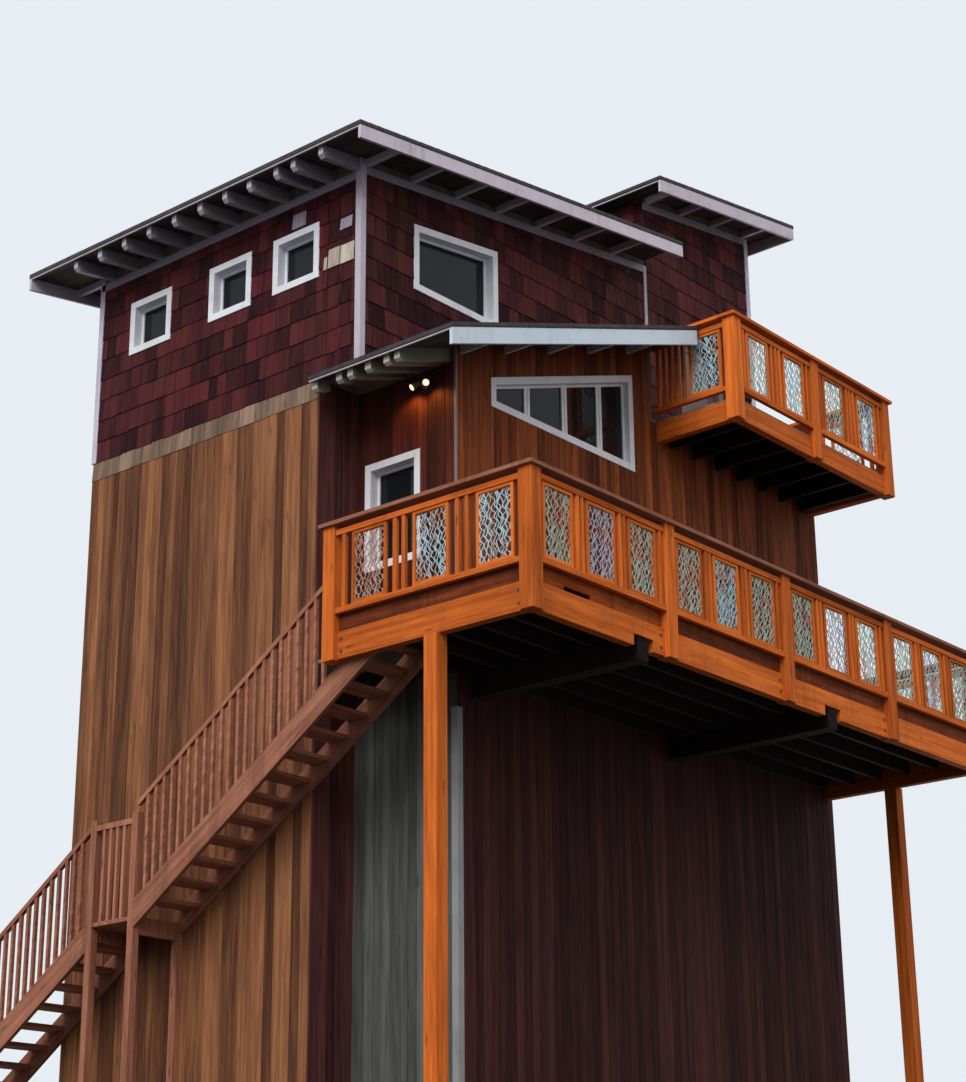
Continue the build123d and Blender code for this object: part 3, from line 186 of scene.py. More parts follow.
def noise(tree, vector, scale, detail, roughness=0.5, distortion=0.0):
    return add(tree, "ShaderNodeTexNoise", {"Vector": vector, "Scale": scale, "Detail": detail,
                                            "Roughness": roughness, "Distortion": distortion}).outputs["Fac"]


def object_place(tree):
    return add(tree, "ShaderNodeTexCoord").outputs["Object"]


def new_group(name, inputs, outputs):
    """An empty shader group with its named sockets; gives the tree and its inner inputs."""
    group = bpy.data.node_groups.new(name, "ShaderNodeTree")
    for way, sockets in (("INPUT", inputs), ("OUTPUT", outputs)):
        for label, kind in sockets.items():
            group.interface.new_socket(label, in_out=way, socket_type="NodeSocket" + kind)
    return group, group.nodes.new("NodeGroupInput").outputs


# Streaks by place, for solids that have no boards of their own
tree, given = new_group(
    "streaks by place",
    {"Tint": "Color", "Streak": "Color"},
    {"Base Color": "Color", "Roughness": "Float", "Height": "Float"},
)
placed_streaks = tree
streaks = noise(tree, stretched(tree, object_place(tree), (9, 9, 0.8)), 1.0, 5.0, 0.6)
add(tree, "NodeGroupOutput", {
    "Base Color": mixed(tree, spread(tree, streaks, 0.35, 0.65), given["Streak"], given["Tint"]),
    "Roughness": spread(tree, streaks, 0.3, 0.7, 0.9, 0.7),
    "Height": streaks,
})


def new_finish(name):
    """A new material, its node tree and its shader."""
    finish = bpy.data.materials.new(name)
    finish.use_nodes = True
    return finish, finish.node_tree, finish.node_tree.nodes["Principled BSDF"]


def grouped(name, group, values, relief, depth, gloss=0.5, marks=()):
    """A finish from a shader group whose outputs are named after what they feed.

    The marks are the mesh's attributes that the group reads, each with the kind of its output.
    """
    finish, tree, shader = new_finish(name)
    look = add(tree, "ShaderNodeGroup", values, node_tree=group)
    for mark, kind in marks:
        attribute = add(tree, "ShaderNodeAttribute", attribute_name=mark.lower())
        feed(tree, look, {mark: attribute.outputs[kind]})
    bump = add(tree, "ShaderNodeBump",
               {"Height": look.outputs["Height"], "Strength": relief, "Distance": depth})
    feed(tree, shader, {output.name: output for output in look.outputs if output.name != "Height"})
    feed(tree, shader, {"Specular IOR Level": gloss, "Normal": bump.outputs[0]})
    return finish


def streaked(name, tint, streak):
    return grouped(name, placed_streaks, {"Tint": (*tint, 1), "Streak": (*streak, 1)}, 0.3, 0.004)


def coated(node, finish):
    """Gives a finish to a CAD node that shows as it is."""
    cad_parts[node].data.materials.clear()
    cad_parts[node].data.materials.append(finish)


lining = streaked("wall lining", (0.10, 0.075, 0.055), (0.045, 0.032, 0.024))
for node in ("stair_wall", "return_wall", "porch_wall", "long_wall", "lower_far_wall", "lower_back_wall",
             "gallery_end_wall", "tower_side_wall", "tower_front_wall", "block_front_wall",
             "upper_far_wall", "clerestory_wall", "upper_back_wall", "main_floor", "upper_floor"):
    coated(node, lining)


# Upright boards on the lower walls. Cedar boards a hand wide with eased edges, nailed side by
# side over the sheathing; each side of the house has weathered to its own colour. The porch
# wall's boards and those under the deck are made darker as painted shade.
FRONT, STAIR_SIDE, BACK, FAR_SIDE = 0, -90, 180, 90
BOARD_THICKNESS = 0.014
BOARD_WIDTH = 0.128
BOARD_GAP = 0.003
BOARD_EASE = 0.003
COVERED = 0.045
SHORTEST = 0.03
UNEVEN = (0.85, 1.1)


def on_wall(turn, distance, u, v):
    """A point on a wall seen from outside: u to the right and v up, the wall so far from the middle."""
    angle = math.radians(turn)
    right = Vector((math.cos(angle), math.sin(angle), 0))
    outward = Vector((math.sin(angle), -math.cos(angle), 0))
    return right * u + outward * distance + Vector((0, 0, v))


def distance_of(turn, node):
    """How far the outer face of a wall lies from the middle of the house."""
    low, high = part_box(node)
    return {FRONT: -low.y, STAIR_SIDE: -low.x, BACK: high.y, FAR_SIDE: high.x}[turn]


def across(turn, points):
    """The u of points on a wall."""
    angle = math.radians(turn)
    return points @ np.array((math.cos(angle), math.sin(angle), 0))


def connected(count, pairs):
    """Numbers the groups of points that edges join, one number for each point."""
    label = np.arange(count)
    first, second = pairs[:, 0], pairs[:, 1]
    while True:
        before = label.copy()
        low = np.minimum(label[first], label[second])
        np.minimum.at(label, first, low)
        np.minimum.at(label, second, low)
        label = label[label]
        if (label == before).all():
            return np.unique(label, return_inverse=True)[1]


def points_of(mesh):
    flat = np.empty(len(mesh.vertices) * 3)
    mesh.vertices.foreach_get("co", flat)
    return flat.reshape(-1, 3)


def edges_of(mesh):
    flat = np.empty(len(mesh.edges) * 2, int)
    mesh.edges.foreach_get("vertices", flat)
    return flat.reshape(-1, 2)


def solids_in(node):
    """The points of each of a CAD node's solids."""
    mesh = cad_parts[node].data
    points = points_of(mesh)
    triangles = np.array([p.vertices[:] for p in mesh.polygons])
    corner = np.unique(points.round(4), axis=0, return_inverse=True)[1].ravel()
    sides = corner[np.vstack((triangles[:, :2], triangles[:, 1:]))]
    solid = connected(corner.max() + 1, sides)[corner]
    return [points[solid == number] for number in range(solid.max() + 1)]


def openings_in(turn, node, frames):
    """Where the windows and doors of a wall are: u from and to, foot, and head at either end."""
    beside_wall, from_face, smallest, at_end = 0.1, 0.15, 0.2, 0.005
    found = []
    wall_low, wall_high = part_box(node)
    outward = on_wall(turn, 1, 0, 0)
    for own in [solid for name in frames for solid in solids_in(name)]:
        low, high = Vector(own.min(0)), Vector(own.max(0))
        middle = (low + high) / 2
        depth = distance_of(turn, node) - middle.dot(outward)
        inside = all(wall_low[i] - beside_wall < middle[i] < wall_high[i] + beside_wall for i in range(3))
        if not inside or abs(depth) > from_face or (high - low).length / 2 < smallest:
            continue
        u = across(turn, own)
        heads = [own[abs(u - end) < at_end][:, 2].max() - COVERED for end in (u.min(), u.max())]
        found.append((u.min() + COVERED, u.max() - COVERED, own[:, 2].min() + COVERED, *heads))
    return found


def strips(u0, u1, openings):
    """Splits a wall's width at its openings, so that each strip is wholly beside or across one."""
    breaks = {u0, u1}
    for start, end, *_ in openings:
        breaks |= {u for u in (start, end) if u0 < u < u1}
    return list(zip(sorted(breaks), sorted(breaks)[1:]))


def clear_spans(u, foot, head, openings):
    """The heights that are left at u between a wall's foot and its head, outside its openings."""
    spans = [(foot, head)]
    for start, end, low, left_head, right_head in openings:
        if not start < u < end:
            continue
        top = left_head + (right_head - left_head) * (u - start) / (end - start)
        cut = []
        for a, b in spans:
            cut += [(a, min(b, low)), (max(a, top), b)]
        spans = cut
    return [(a, b) for a, b in spans if b - a > SHORTEST]


def block(name, middle, size, turn=0):
    """A block of the given size round its middle, turned in degrees about the upright."""
    bpy.ops.object.select_all(action="DESELECT")
    bpy.ops.mesh.primitive_cube_add(size=1, location=middle, rotation=(0, 0, math.radians(turn)), scale=size)
    bpy.ops.object.transform_apply(location=True, rotation=True, scale=True)
    bpy.context.object.name = name
    return bpy.context.object


def unit_piece(name, width, thickness, top_thickness, ease):
    """One board or shingle, a metre high on the plane y = 0, its two long outer edges eased."""
    unit = block(name, (0, -thickness / 2, 0.5), (width, thickness, 1))
    for vertex in unit.data.vertices:
        if vertex.co.z > 0.5 and vertex.co.y < -thickness / 2:
            vertex.co.y = -top_thickness
    bpy.ops.object.mode_set(mode="EDIT")
    bpy.ops.mesh.select_mode(type="EDGE")
    bpy.ops.mesh.select_all(action="DESELECT")
    bpy.ops.object.mode_set(mode="OBJECT")
    for edge in unit.data.edges:
        ends = [unit.data.vertices[i].co for i in edge.vertices]
        upright = abs(ends[0].z - ends[1].z) > 0.5
        edge.select = upright and all(end.y < -top_thickness / 2 for end in ends)
    bpy.ops.object.mode_set(mode="EDIT")
    bpy.ops.mesh.bevel(offset=ease, segments=1)
    bpy.ops.object.mode_set(mode="OBJECT")
    return unit


GRAIN_FIELD = 50


def mark_timber(piece, seed, along=None):
    """Gives every board in a mesh its own grain direction and its own tone, as attributes.

    The grain runs along the board's length, or along the given axis, and starts at a chance place.
    """
    mesh = piece.data
    points = points_of(mesh)
    board = connected(len(points), edges_of(mesh))
    count = board.max() + 1
    corners = np.bincount(board)[:, None]
    total = np.zeros((count, 3))
    np.add.at(total, board, points)
    away = points - (total / corners)[board]
    shape = np.zeros((count, 3, 3))
    np.add.at(shape, board, away[:, :, None] * away[:, None, :])
    axes = np.linalg.eigh(shape)[1][:, :, ::-1]
    if along is not None:
        axes[:] = along
    chance = np.random.default_rng(seed)
    start = chance.uniform(0, GRAIN_FIELD, (count, 3))
    grain = np.einsum("ij,ijk->ik", away, axes[board]) + start[board]
    tone = chance.uniform(0, 1, count)
    mesh.attributes.new("grain", "FLOAT_VECTOR", "POINT").data.foreach_set("vector", grain.ravel())
    if "tone" not in mesh.attributes:
        mesh.attributes.new("tone", "FLOAT", "POINT").data.foreach_set("value", tone[board])


def only(piece):
    """Makes a piece the one that the next operators act on."""
    bpy.ops.object.select_all(action="DESELECT")
    piece.select_set(True)
    bpy.context.view_layer.objects.active = piece
    return piece


def kept(piece, finish, seed, along=None):
    """Gives a finished piece its material, its grain and its place on the house."""
    piece.data.materials.clear()
    piece.data.materials.append(finish)
    mark_timber(piece, seed, along)
    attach(piece, "root")
    return piece


def laid_out(unit, name, places, finish, seed, along=None):
    """Copies of a unit piece, joined as one mesh. A place is point, turns in radians, size, tone."""
    points, turns, sizes, tones = zip(*places)
    mesh = bpy.data.meshes.new(name)
    mesh.from_pydata(points, [], [])
    for mark, vectors in (("turn", turns), ("size", sizes)):
        values = np.array(vectors, float).ravel()
        mesh.attributes.new(mark, "FLOAT_VECTOR", "POINT").data.foreach_set("vector", values)
    mesh.attributes.new("tone", "FLOAT", "POINT").data.foreach_set("value", tones)
    piece = bpy.data.objects.new(name, mesh)
    bpy.context.scene.collection.objects.link(piece)
    tree = bpy.data.node_groups.new("lay out " + name, "GeometryNodeTree")
    tree.interface.new_socket("Geometry", in_out="INPUT", socket_type="NodeSocketGeometry")
    tree.interface.new_socket("Geometry", in_out="OUTPUT", socket_type="NodeSocketGeometry")
    source = tree.nodes.new("NodeGroupInput")
    copy_of = add(tree, "GeometryNodeObjectInfo", {"Object": unit, "As Instance": True})
    turn = add(tree, "GeometryNodeInputNamedAttribute", {"Name": "turn"}, data_type="FLOAT_VECTOR")
    size = add(tree, "GeometryNodeInputNamedAttribute", {"Name": "size"}, data_type="FLOAT_VECTOR")
    rotation = add(tree, "FunctionNodeEulerToRotation", {0: turn.outputs[0]})
    copies = add(tree, "GeometryNodeInstanceOnPoints",
                 {"Points": source.outputs[0], "Instance": copy_of.outputs["Geometry"],
                  "Rotation": rotation.outputs[0], "Scale": size.outputs[0]})
    real = add(tree, "GeometryNodeRealizeInstances", {0: copies.outputs[0]})
    add(tree, "NodeGroupOutput", {0: real.outputs[0]})
    modifier = only(piece).modifiers.new("lay out", "NODES")
    modifier.node_group = tree
    bpy.ops.object.modifier_apply(modifier=modifier.name)
    for used in ("turn", "size"):
        piece.data.attributes.remove(piece.data.attributes[used])
    return kept(piece, finish, seed, along)


UPRIGHT_GRAIN = ((0, 1, 0), (0, 0, 1), (1, 0, 0))
board = unit_piece("board pattern", BOARD_WIDTH - BOARD_GAP, BOARD_THICKNESS, BOARD_THICKNESS, BOARD_EASE)


def board_up(name, turn, node, u0, u1, foot, head, frames, finish, seed):
    """Boards a wall from u0 to u1, from its foot to the height that head gives at a place along it."""
    chance = random.Random(seed)
    openings = openings_in(turn, node, frames)
    places = []
    for start, end in strips(u0, u1, openings):
        count = max(1, round((end - start) / BOARD_WIDTH))
        width = (end - start) / count
        for i in range(count):
            u = start + width * (i + 0.5)
            tone = chance.random()
            proud = chance.uniform(*UNEVEN)
            for low, high in clear_spans(u, foot, head(u), openings):
                point = on_wall(turn, distance_of(turn, node), u, low)
                size = (width / BOARD_WIDTH, proud, high - low)
                places.append((point, (0, 0, math.radians(turn)), size, tone))
    laid_out(board, name, places, finish, seed, UPRIGHT_GRAIN)


def times(tree, first, second):
    return worked_out(tree, "MULTIPLY", first, second)


def plus(tree, first, second):
    return worked_out(tree, "ADD", first, second)


# Sawn timber: long fibres, fine pores, a few knots, and rain streaks that darken it
tree, given = new_group(
    "timber grain",
    {"Grain": "Vector", "Tone": "Float", "Light": "Color", "Dark": "Color", "Stain": "Color",
     "Staining": "Float", "Variation": "Float"},
    {"Base Color": "Color", "Roughness": "Float", "Height": "Float"},
)
timber_grain = tree
fibres = noise(tree, stretched(tree, given["Grain"], (0.9, 19, 19)), 1.0, 5.0, 0.62, 0.35)
pores = noise(tree, stretched(tree, given["Grain"], (4, 150, 150)), 1.0, 3.0)
knots = add(tree, "ShaderNodeTexVoronoi",
            {"Vector": stretched(tree, given["Grain"], (1.3, 6, 6)), "Scale": 1.0})
lines = plus(tree, times(tree, fibres, 0.75), times(tree, pores, 0.25))
lean = spread(tree, given["Tone"], 0.0, 1.0, -0.5, 0.5)
lines = plus(tree, lines, times(tree, times(tree, lean, given["Variation"]), 0.4))
wood = mixed(tree, spread(tree, lines, 0.36, 0.64), given["Dark"], given["Light"])
knot = spread(tree, knots.outputs["Distance"], 0.05, 0.11, 1.0, 0.0)
wood = mixed(tree, times(tree, knot, 0.7), wood, given["Stain"])
place = object_place(tree)
clouds = noise(tree, stretched(tree, place, (1.6, 1.6, 0.45)), 1.0, 6.0, 0.65)
drips = noise(tree, stretched(tree, place, (14, 14, 0.9)), 1.0, 4.0, 0.6)
rain = times(tree, spread(tree, clouds, 0.42, 0.68), spread(tree, drips, 0.35, 0.7))
wood = mixed(tree, times(tree, rain, given["Staining"]), wood, given["Stain"])
darkest = worked_out(tree, "SUBTRACT", 1.0, given["Variation"])
lightest = plus(tree, 1.0, given["Variation"])
board_tone = add(tree, "ShaderNodeMapRange",
                 {"Value": given["Tone"], "To Min": darkest, "To Max": lightest}).outputs[0]
tinted = add(tree, "ShaderNodeHueSaturation", {"Value": board_tone, "Color": wood}).outputs[0]
rough = spread(tree, lines, 0.3, 0.7, 0.82, 0.58)
height = plus(tree, lines, times(tree, knot, 0.4))
add(tree, "NodeGroupOutput", {"Base Color": tinted, "Roughness": rough, "Height": height})
BOARD_MARKS = (("Grain", "Vector"), ("Tone", "Fac"))


def timber(name, light, dark, stain, staining, variation, gloss=0.35):
    """A wood finish whose pattern follows each board's own grain."""
    values = {"Light": (*light, 1), "Dark": (*dark, 1), "Stain": (*stain, 1),
              "Staining": staining, "Variation": variation}
    return grouped(name, timber_grain, values, 0.5, 0.004, gloss, BOARD_MARKS)


RED_CEDAR = ((0.23, 0.058, 0.016), (0.062, 0.016, 0.007), (0.025, 0.009, 0.006))
TAN_CEDAR = ((0.25, 0.105, 0.045), (0.090, 0.034, 0.019), (0.070, 0.024, 0.017))
# The porch boards: a dark stain, made darker still as painted shade under the lower roof
PORCH_STAIN_AND_SHADE = ((0.105, 0.022, 0.012), (0.034, 0.009, 0.007), (0.016, 0.006, 0.006))
PLUM_CEDAR = ((0.110, 0.038, 0.036), (0.045, 0.014, 0.017), (0.020, 0.008, 0.010))
GREY_CEDAR = ((0.110, 0.115, 0.108), (0.052, 0.055, 0.053), (0.028, 0.028, 0.026))
# The boards below the deck are near black: painted shadow of the deck
DECK_SHADOW_CEDAR = ((0.060, 0.016, 0.015), (0.022, 0.007, 0.008), (0.010, 0.004, 0.005))
WALL_SHEEN = 0.08
red_boards = timber("red cedar boards", *RED_CEDAR, 0.8, 0.34, WALL_SHEEN)
tan_boards = timber("weathered tan boards", *TAN_CEDAR, 0.8, 0.34, WALL_SHEEN)
porch_boards = timber("porch boards in dark stain and painted shade", *PORCH_STAIN_AND_SHADE, 0.6, 0.3, WALL_SHEEN)
plum_boards = timber("dark plum boards", *PLUM_CEDAR, 0.6, 0.3, WALL_SHEEN)
grey_boards = timber("grey foot boards", *GREY_CEDAR, 0.6, 0.25, WALL_SHEEN)
shade_boards = timber("boards painted dark as the deck's shadow", *DECK_SHADOW_CEDAR, 0.7, 0.3, WALL_SHEEN)

WINDOWS = ("main_window_frames", "upper_window_frames", "deck_door", "balcony_door")
ROOF_THICKNESS = 0.062


def roof_foot(roof, x):
    """The height of a roof's underside at x; every roof rises along X."""
    low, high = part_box(roof)
    return low.z + (high.z - low.z - ROOF_THICKNESS) * (x - low.x) / (high.x - low.x)


upper_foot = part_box("tower_front_wall")[0].z
house_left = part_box("stair_wall")[0].x
house_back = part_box("lower_back_wall")[1].y
house_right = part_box("long_wall")[1].x
return_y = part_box("return_wall")[0].y
porch_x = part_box("porch_wall")[0].x
long_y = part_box("long_wall")[0].y
tower_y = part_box("tower_front_wall")[0].y
gallery_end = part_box("gallery_end_wall")[1].x
block_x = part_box("tower_front_wall")[1].x
rim_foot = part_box("deck_rim_left")[0].z
deck_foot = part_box("deck_floor")[0].z
balcony_rim_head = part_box("balcony_rim")[1].z

BLEACHED_COURSE = 0.23
BOARD_UNDER_COURSE = 0.04
course_foot = upper_foot - BLEACHED_COURSE


def level(height):
    """A head that is as high all along its wall."""
    return lambda u: height


def long_wall_head(x):
    return roof_foot("lower_roof", x) if x < gallery_end else balcony_rim_head


board_up("stair_wall_boards", STAIR_SIDE, "stair_wall", -house_back, -return_y,
         0, level(course_foot + BOARD_UNDER_COURSE), (), tan_boards, 11)
board_up("return_wall_boards", FRONT, "return_wall", house_left, porch_x,
         0, level(upper_foot), (), plum_boards, 12)
board_up("porch_wall_boards", STAIR_SIDE, "porch_wall", -return_y, -long_y,
         deck_foot, level(upper_foot), WINDOWS, porch_boards, 13)
board_up("porch_foot_boards", STAIR_SIDE, "porch_wall", -return_y, -long_y,
         0, level(deck_foot), WINDOWS, grey_boards, 14)
board_up("long_wall_boards", FRONT, "long_wall", porch_x, house_right,
         deck_foot, long_wall_head, WINDOWS, red_boards, 15)
board_up("long_foot_boards", FRONT, "long_wall", porch_x, house_right,
         0, level(deck_foot), WINDOWS, shade_boards, 20)
board_up("lower_far_boards", FAR_SIDE, "long_wall", long_y, house_back,
         0, level(upper_foot), (), red_boards, 16)
board_up("balcony_end_boards", FAR_SIDE, "long_wall", long_y, tower_y,
         upper_foot, level(balcony_rim_head), (), red_boards, 19)
board_up("lower_back_boards", BACK, "lower_back_wall", -house_right, -house_left,
         0, level(upper_foot), WINDOWS, tan_boards, 17)
board_up("gallery_end_boards", FAR_SIDE, "gallery_end_wall", long_y, tower_y,
         upper_foot, level(roof_foot("lower_roof", gallery_end)), (), red_boards, 18)


# Shingles on the upper storey. Split cedar shingles of uneven widths, thin at the head and thick
# at the butt, nailed to the sheathing in courses 270 mm apart that lap each other, stained maroon.
EXPOSURE = 0.27
LAP = 0.035
SHINGLE_WIDTH = 0.2
SHINGLE_BUTT = 0.017
SHINGLE_HEAD = 0.004
SHINGLE_EASE = 0.002
SHINGLE_WIDTHS = (0.12, 0.30)
NARROWEST_SHINGLE = 0.09
SHINGLE_GAP = 0.004
BUTT_WANDER = 0.006
NO_ROOM = 0.01
shingle = unit_piece("shingle pattern", SHINGLE_WIDTH, SHINGLE_BUTT, SHINGLE_HEAD, SHINGLE_EASE)

MAROON = ((0.068, 0.011, 0.014), (0.020, 0.005, 0.009), (0.056, 0.023, 0.012))
maroon = timber("maroon shingles", *MAROON, 0.75, 0.42, WALL_SHEEN)


def shingle_up(name, turn, node, u0, u1, foot, head, frames, seed, renewed=()):
    """Courses of shingles from the foot up, round the openings and the places of renewed ones."""
    chance = random.Random(seed)
    openings = openings_in(turn, node, frames)
    openings += [(start, end, low, high, high) for start, end, low, high in renewed]
    top = max(head(u0), head(u1))
    places = []
    row = foot
    while row < top:
        for start, end in strips(u0, u1, openings):
            u = start
            while u < end - NO_ROOM:
                width = chance.uniform(*SHINGLE_WIDTHS)
                if end - u - width < NARROWEST_SHINGLE:
                    width = end - u
                middle = u + width / 2
                tone = chance.random()
                lift = chance.uniform(-BUTT_WANDER, BUTT_WANDER)
                crest = min(row + EXPOSURE + LAP, head(middle))
                for low, high in clear_spans(middle, row + lift, crest, openings):
                    point = on_wall(turn, distance_of(turn, node), middle, low)
                    size = ((width - SHINGLE_GAP) / SHINGLE_WIDTH, chance.uniform(*UNEVEN), high - low)
                    places.append((point, (0, 0, math.radians(turn)), size, tone))
                u += width
        row += EXPOSURE
    laid_out(shingle, name, places, maroon, seed, UPRIGHT_GRAIN)


RAFTER_DEPTH = 0.15
LOOKOUT_DEPTH = 0.09


def lookout_foot(roof, x):
    return roof_foot(roof, x) - LOOKOUT_DEPTH


# Room for renewed shingles on the stair side: from and to along the wall, foot and head
LILAC_SHINGLES = ((0.658, 0.878, 10.115, 10.306), (1.423, 1.606, 9.847, 9.996))
RAW_SHINGLES = ((1.17, 1.225, 9.43, 9.60), (1.24, 1.42, 9.43, 9.674), (1.429, 1.641, 9.423, 9.665))
rafter_foot = roof_foot("main_roof", house_left) - RAFTER_DEPTH
shingle_up("tower_side_shingles", STAIR_SIDE, "tower_side_wall", -house_back, -tower_y, upper_foot,
           level(rafter_foot), WINDOWS, 21, LILAC_SHINGLES + RAW_SHINGLES)
shingle_up("tower_front_shingles", FRONT, "tower_front_wall", house_left, block_x, upper_foot,
           lambda u: lookout_foot("main_roof", u), WINDOWS, 22)


# Odd shingles on the stair side. A few renewed ones beside the corner, thicker than their
# neighbours, faded to lilac or left raw, and a bleached row that laps over the boards' heads.
FADED = ((0.34, 0.30, 0.36), (0.20, 0.17, 0.22), (0.12, 0.09, 0.11))
RAW = ((0.56, 0.49, 0.41), (0.34, 0.28, 0.23), (0.18, 0.13, 0.10))
BLEACHED = ((0.26, 0.175, 0.125), (0.13, 0.085, 0.062), (0.07, 0.042, 0.034))
RENEWED_THICKNESS = 1.2
COURSE_WANDER = 0.005
faded_shingle = timber("faded shingles", *FADED, 0.6, 0.15)
raw_shingle = timber("raw shingles", *RAW, 0.6, 0.2)
bleached_shingle = timber("bleached shingles", *BLEACHED, 0.6, 0.25, WALL_SHEEN)


def renewed_shingles(name, places, finish, seed):
    chance = random.Random(seed)
    distance = distance_of(STAIR_SIDE, "tower_side_wall")
    laid = []
    for start, end, low, high in places:
        size = ((end - start - SHINGLE_GAP) / SHINGLE_WIDTH, RENEWED_THICKNESS, high - low)
        point = on_wall(STAIR_SIDE, distance, (start + end) / 2, low)
        laid.append((point, (0, 0, math.radians(STAIR_SIDE)), size, chance.random()))
    laid_out(shingle, name, laid, finish, seed, UPRIGHT_GRAIN)


renewed_shingles("lilac_shingles", LILAC_SHINGLES, faded_shingle, 27)
renewed_shingles("raw_shingles", RAW_SHINGLES, raw_shingle, 28)
chance = random.Random(29)
bleached = []
start = -house_back
while start < -return_y - NO_ROOM:
    end = min(start + chance.uniform(*SHINGLE_WIDTHS), -return_y)
    foot = course_foot + chance.uniform(-COURSE_WANDER, COURSE_WANDER)
    bleached.append((start, end, foot, upper_foot + LAP))
    start = end
renewed_shingles("bleached_course", bleached, bleached_shingle, 29)

# The raised block behind the tower, the far side and the back have no odd shingles
shingle_up("block_front_shingles", FRONT, "block_front_wall", block_x, house_right,
           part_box("balcony_floor")[1].z, lambda u: lookout_foot("rear_roof", u), WINDOWS, 23)
shingle_up("upper_far_shingles", FAR_SIDE, "upper_far_wall", tower_y, house_back, upper_foot,
           level(roof_foot("rear_roof", house_right)), (), 24)
shingle_up("upper_back_shingles", BACK, "upper_back_wall", -house_right, -house_left, upper_foot,
           lambda u: lookout_foot("main_roof" if -u < block_x else "rear_roof", -u), WINDOWS, 25)
shingle_up("clerestory_shingles", STAIR_SIDE, "clerestory_wall", -house_back, -tower_y,
           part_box("main_roof")[1].z, level(roof_foot("rear_roof", block_x)), (), 26)


# Painted trim. Fascias, lookouts, rafters and corner boards of planed fir, nailed on and brushed
# with a pale grey paint that has a lilac cast, soiled where the rain runs down; under the eaves the
# paint is made darker as painted shade, and the rafters' cut ends keep the plain paint, as if lit.
MERGE_WITHIN = 0.0002
FLAT = math.radians(0.5)
SHARP = math.radians(40)
CLOSE_UP_WITHIN = 0.00002


def copied(node, name):
    """A copy of a CAD node's mesh with merged corners and whole flat faces."""
    piece = bpy.data.objects.new(name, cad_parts[node].data.copy())
    bpy.context.scene.collection.objects.link(piece)
    only(piece)
    bpy.ops.object.mode_set(mode="EDIT")
    bpy.ops.mesh.select_all(action="SELECT")
    bpy.ops.mesh.remove_doubles(threshold=MERGE_WITHIN)
    bpy.ops.mesh.dissolve_limited(angle_limit=FLAT)
    bpy.ops.object.mode_set(mode="OBJECT")
    return piece


def eased(piece, ease, segments=2):
    """Takes the sharp edges off a piece, and closes up what that leaves without an area."""
    bevel = only(piece).modifiers.new("eased edges", "BEVEL")
    bevel.width = ease
    bevel.segments = segments
    bevel.limit_method = "ANGLE"
    bevel.angle_limit = SHARP
    bpy.ops.object.modifier_apply(modifier=bevel.name)
    bpy.ops.object.mode_set(mode="EDIT")
    bpy.ops.mesh.select_all(action="SELECT")
    bpy.ops.mesh.dissolve_degenerate(threshold=CLOSE_UP_WITHIN)
    bpy.ops.object.mode_set(mode="OBJECT")
    return piece


def dressed(node, finish, ease, seed):
    """A copy of a CAD node with eased edges, which stands for the node."""
    piece = kept(eased(copied(node, node + "_finished"), ease), finish, seed)
    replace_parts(piece, node)
    return piece


# Brushed paint: marks of the brush along each board, and dirt in clouds and runs
tree, given = new_group(
    "brushed paint",
    {"Grain": "Vector", "Tone": "Float", "Paint": "Color", "Dirt": "Color", "Dirtiness": "Float",
     "Dullness": "Float"},
    {"Base Color": "Color", "Roughness": "Float", "Height": "Float"},
)
brushed_paint = tree
place = object_place(tree)
grime = noise(tree, place, 2.2, 8.0, 0.7)
runs = noise(tree, stretched(tree, place, (22, 22, 1.6)), 1.0, 4.0)
brush = noise(tree, stretched(tree, given["Grain"], (3, 90, 90)), 1.0, 3.0)
soiled = times(tree, spread(tree, grime, 0.45, 0.75), spread(tree, runs, 0.3, 0.7))
colour = mixed(tree, times(tree, soiled, given["Dirtiness"]), given["Paint"], given["Dirt"])
shade = spread(tree, given["Tone"], 0.0, 1.0, 0.88, 1.05)
add(tree, "NodeGroupOutput", {
    "Base Color": add(tree, "ShaderNodeHueSaturation", {"Value": shade, "Color": colour}).outputs[0],
    "Roughness": spread(tree, brush, 0.3, 0.7, plus(tree, given["Dullness"], 0.12),
                        plus(tree, given["Dullness"], -0.08)),
    "Height": brush,
})


def painted(name, paint, dirt, dirtiness, dullness=0.5):
    """A coat of brushed paint, soiled where the rain runs down."""
    values = {"Paint": (*paint, 1), "Dirt": (*dirt, 1), "Dirtiness": dirtiness, "Dullness": dullness}
    return grouped(name, brushed_paint, values, 0.25, 0.002, marks=BOARD_MARKS)


def refinished(piece, finishes, which):
    """Gives a piece further finishes; which says a face's: 0 for its first one, 1 or 2 for these."""
    for finish in finishes:
        piece.data.materials.append(finish)
    for face in piece.data.polygons:
        face.material_index = which(face)


CORNER_REACH = 0.1
TRIM_EASE = 0.003
FRAMING_EASE = 0.004
CUT_END_LEAN = 0.4
lilac_paint = painted("lilac grey paint", (0.52, 0.47, 0.56), (0.20, 0.17, 0.17), 0.8)
blue_paint = painted("pale blue fascia paint", (0.57, 0.68, 0.77), (0.27, 0.28, 0.27), 0.6)
cream_paint = painted("old cream paint", (0.46, 0.45, 0.40), (0.17, 0.16, 0.12), 0.9)
# Paints under the eaves: real grime, and the paint itself darkened as painted shade
eave_shade_and_grime_paint = painted("lilac paint with grime and painted eave shade", (0.26, 0.24, 0.29), (0.08, 0.07, 0.07), 0.9)
eave_shade_and_grime_cream = painted("cream paint with grime and painted eave shade", (0.22, 0.21, 0.17), (0.07, 0.06, 0.045), 0.9)
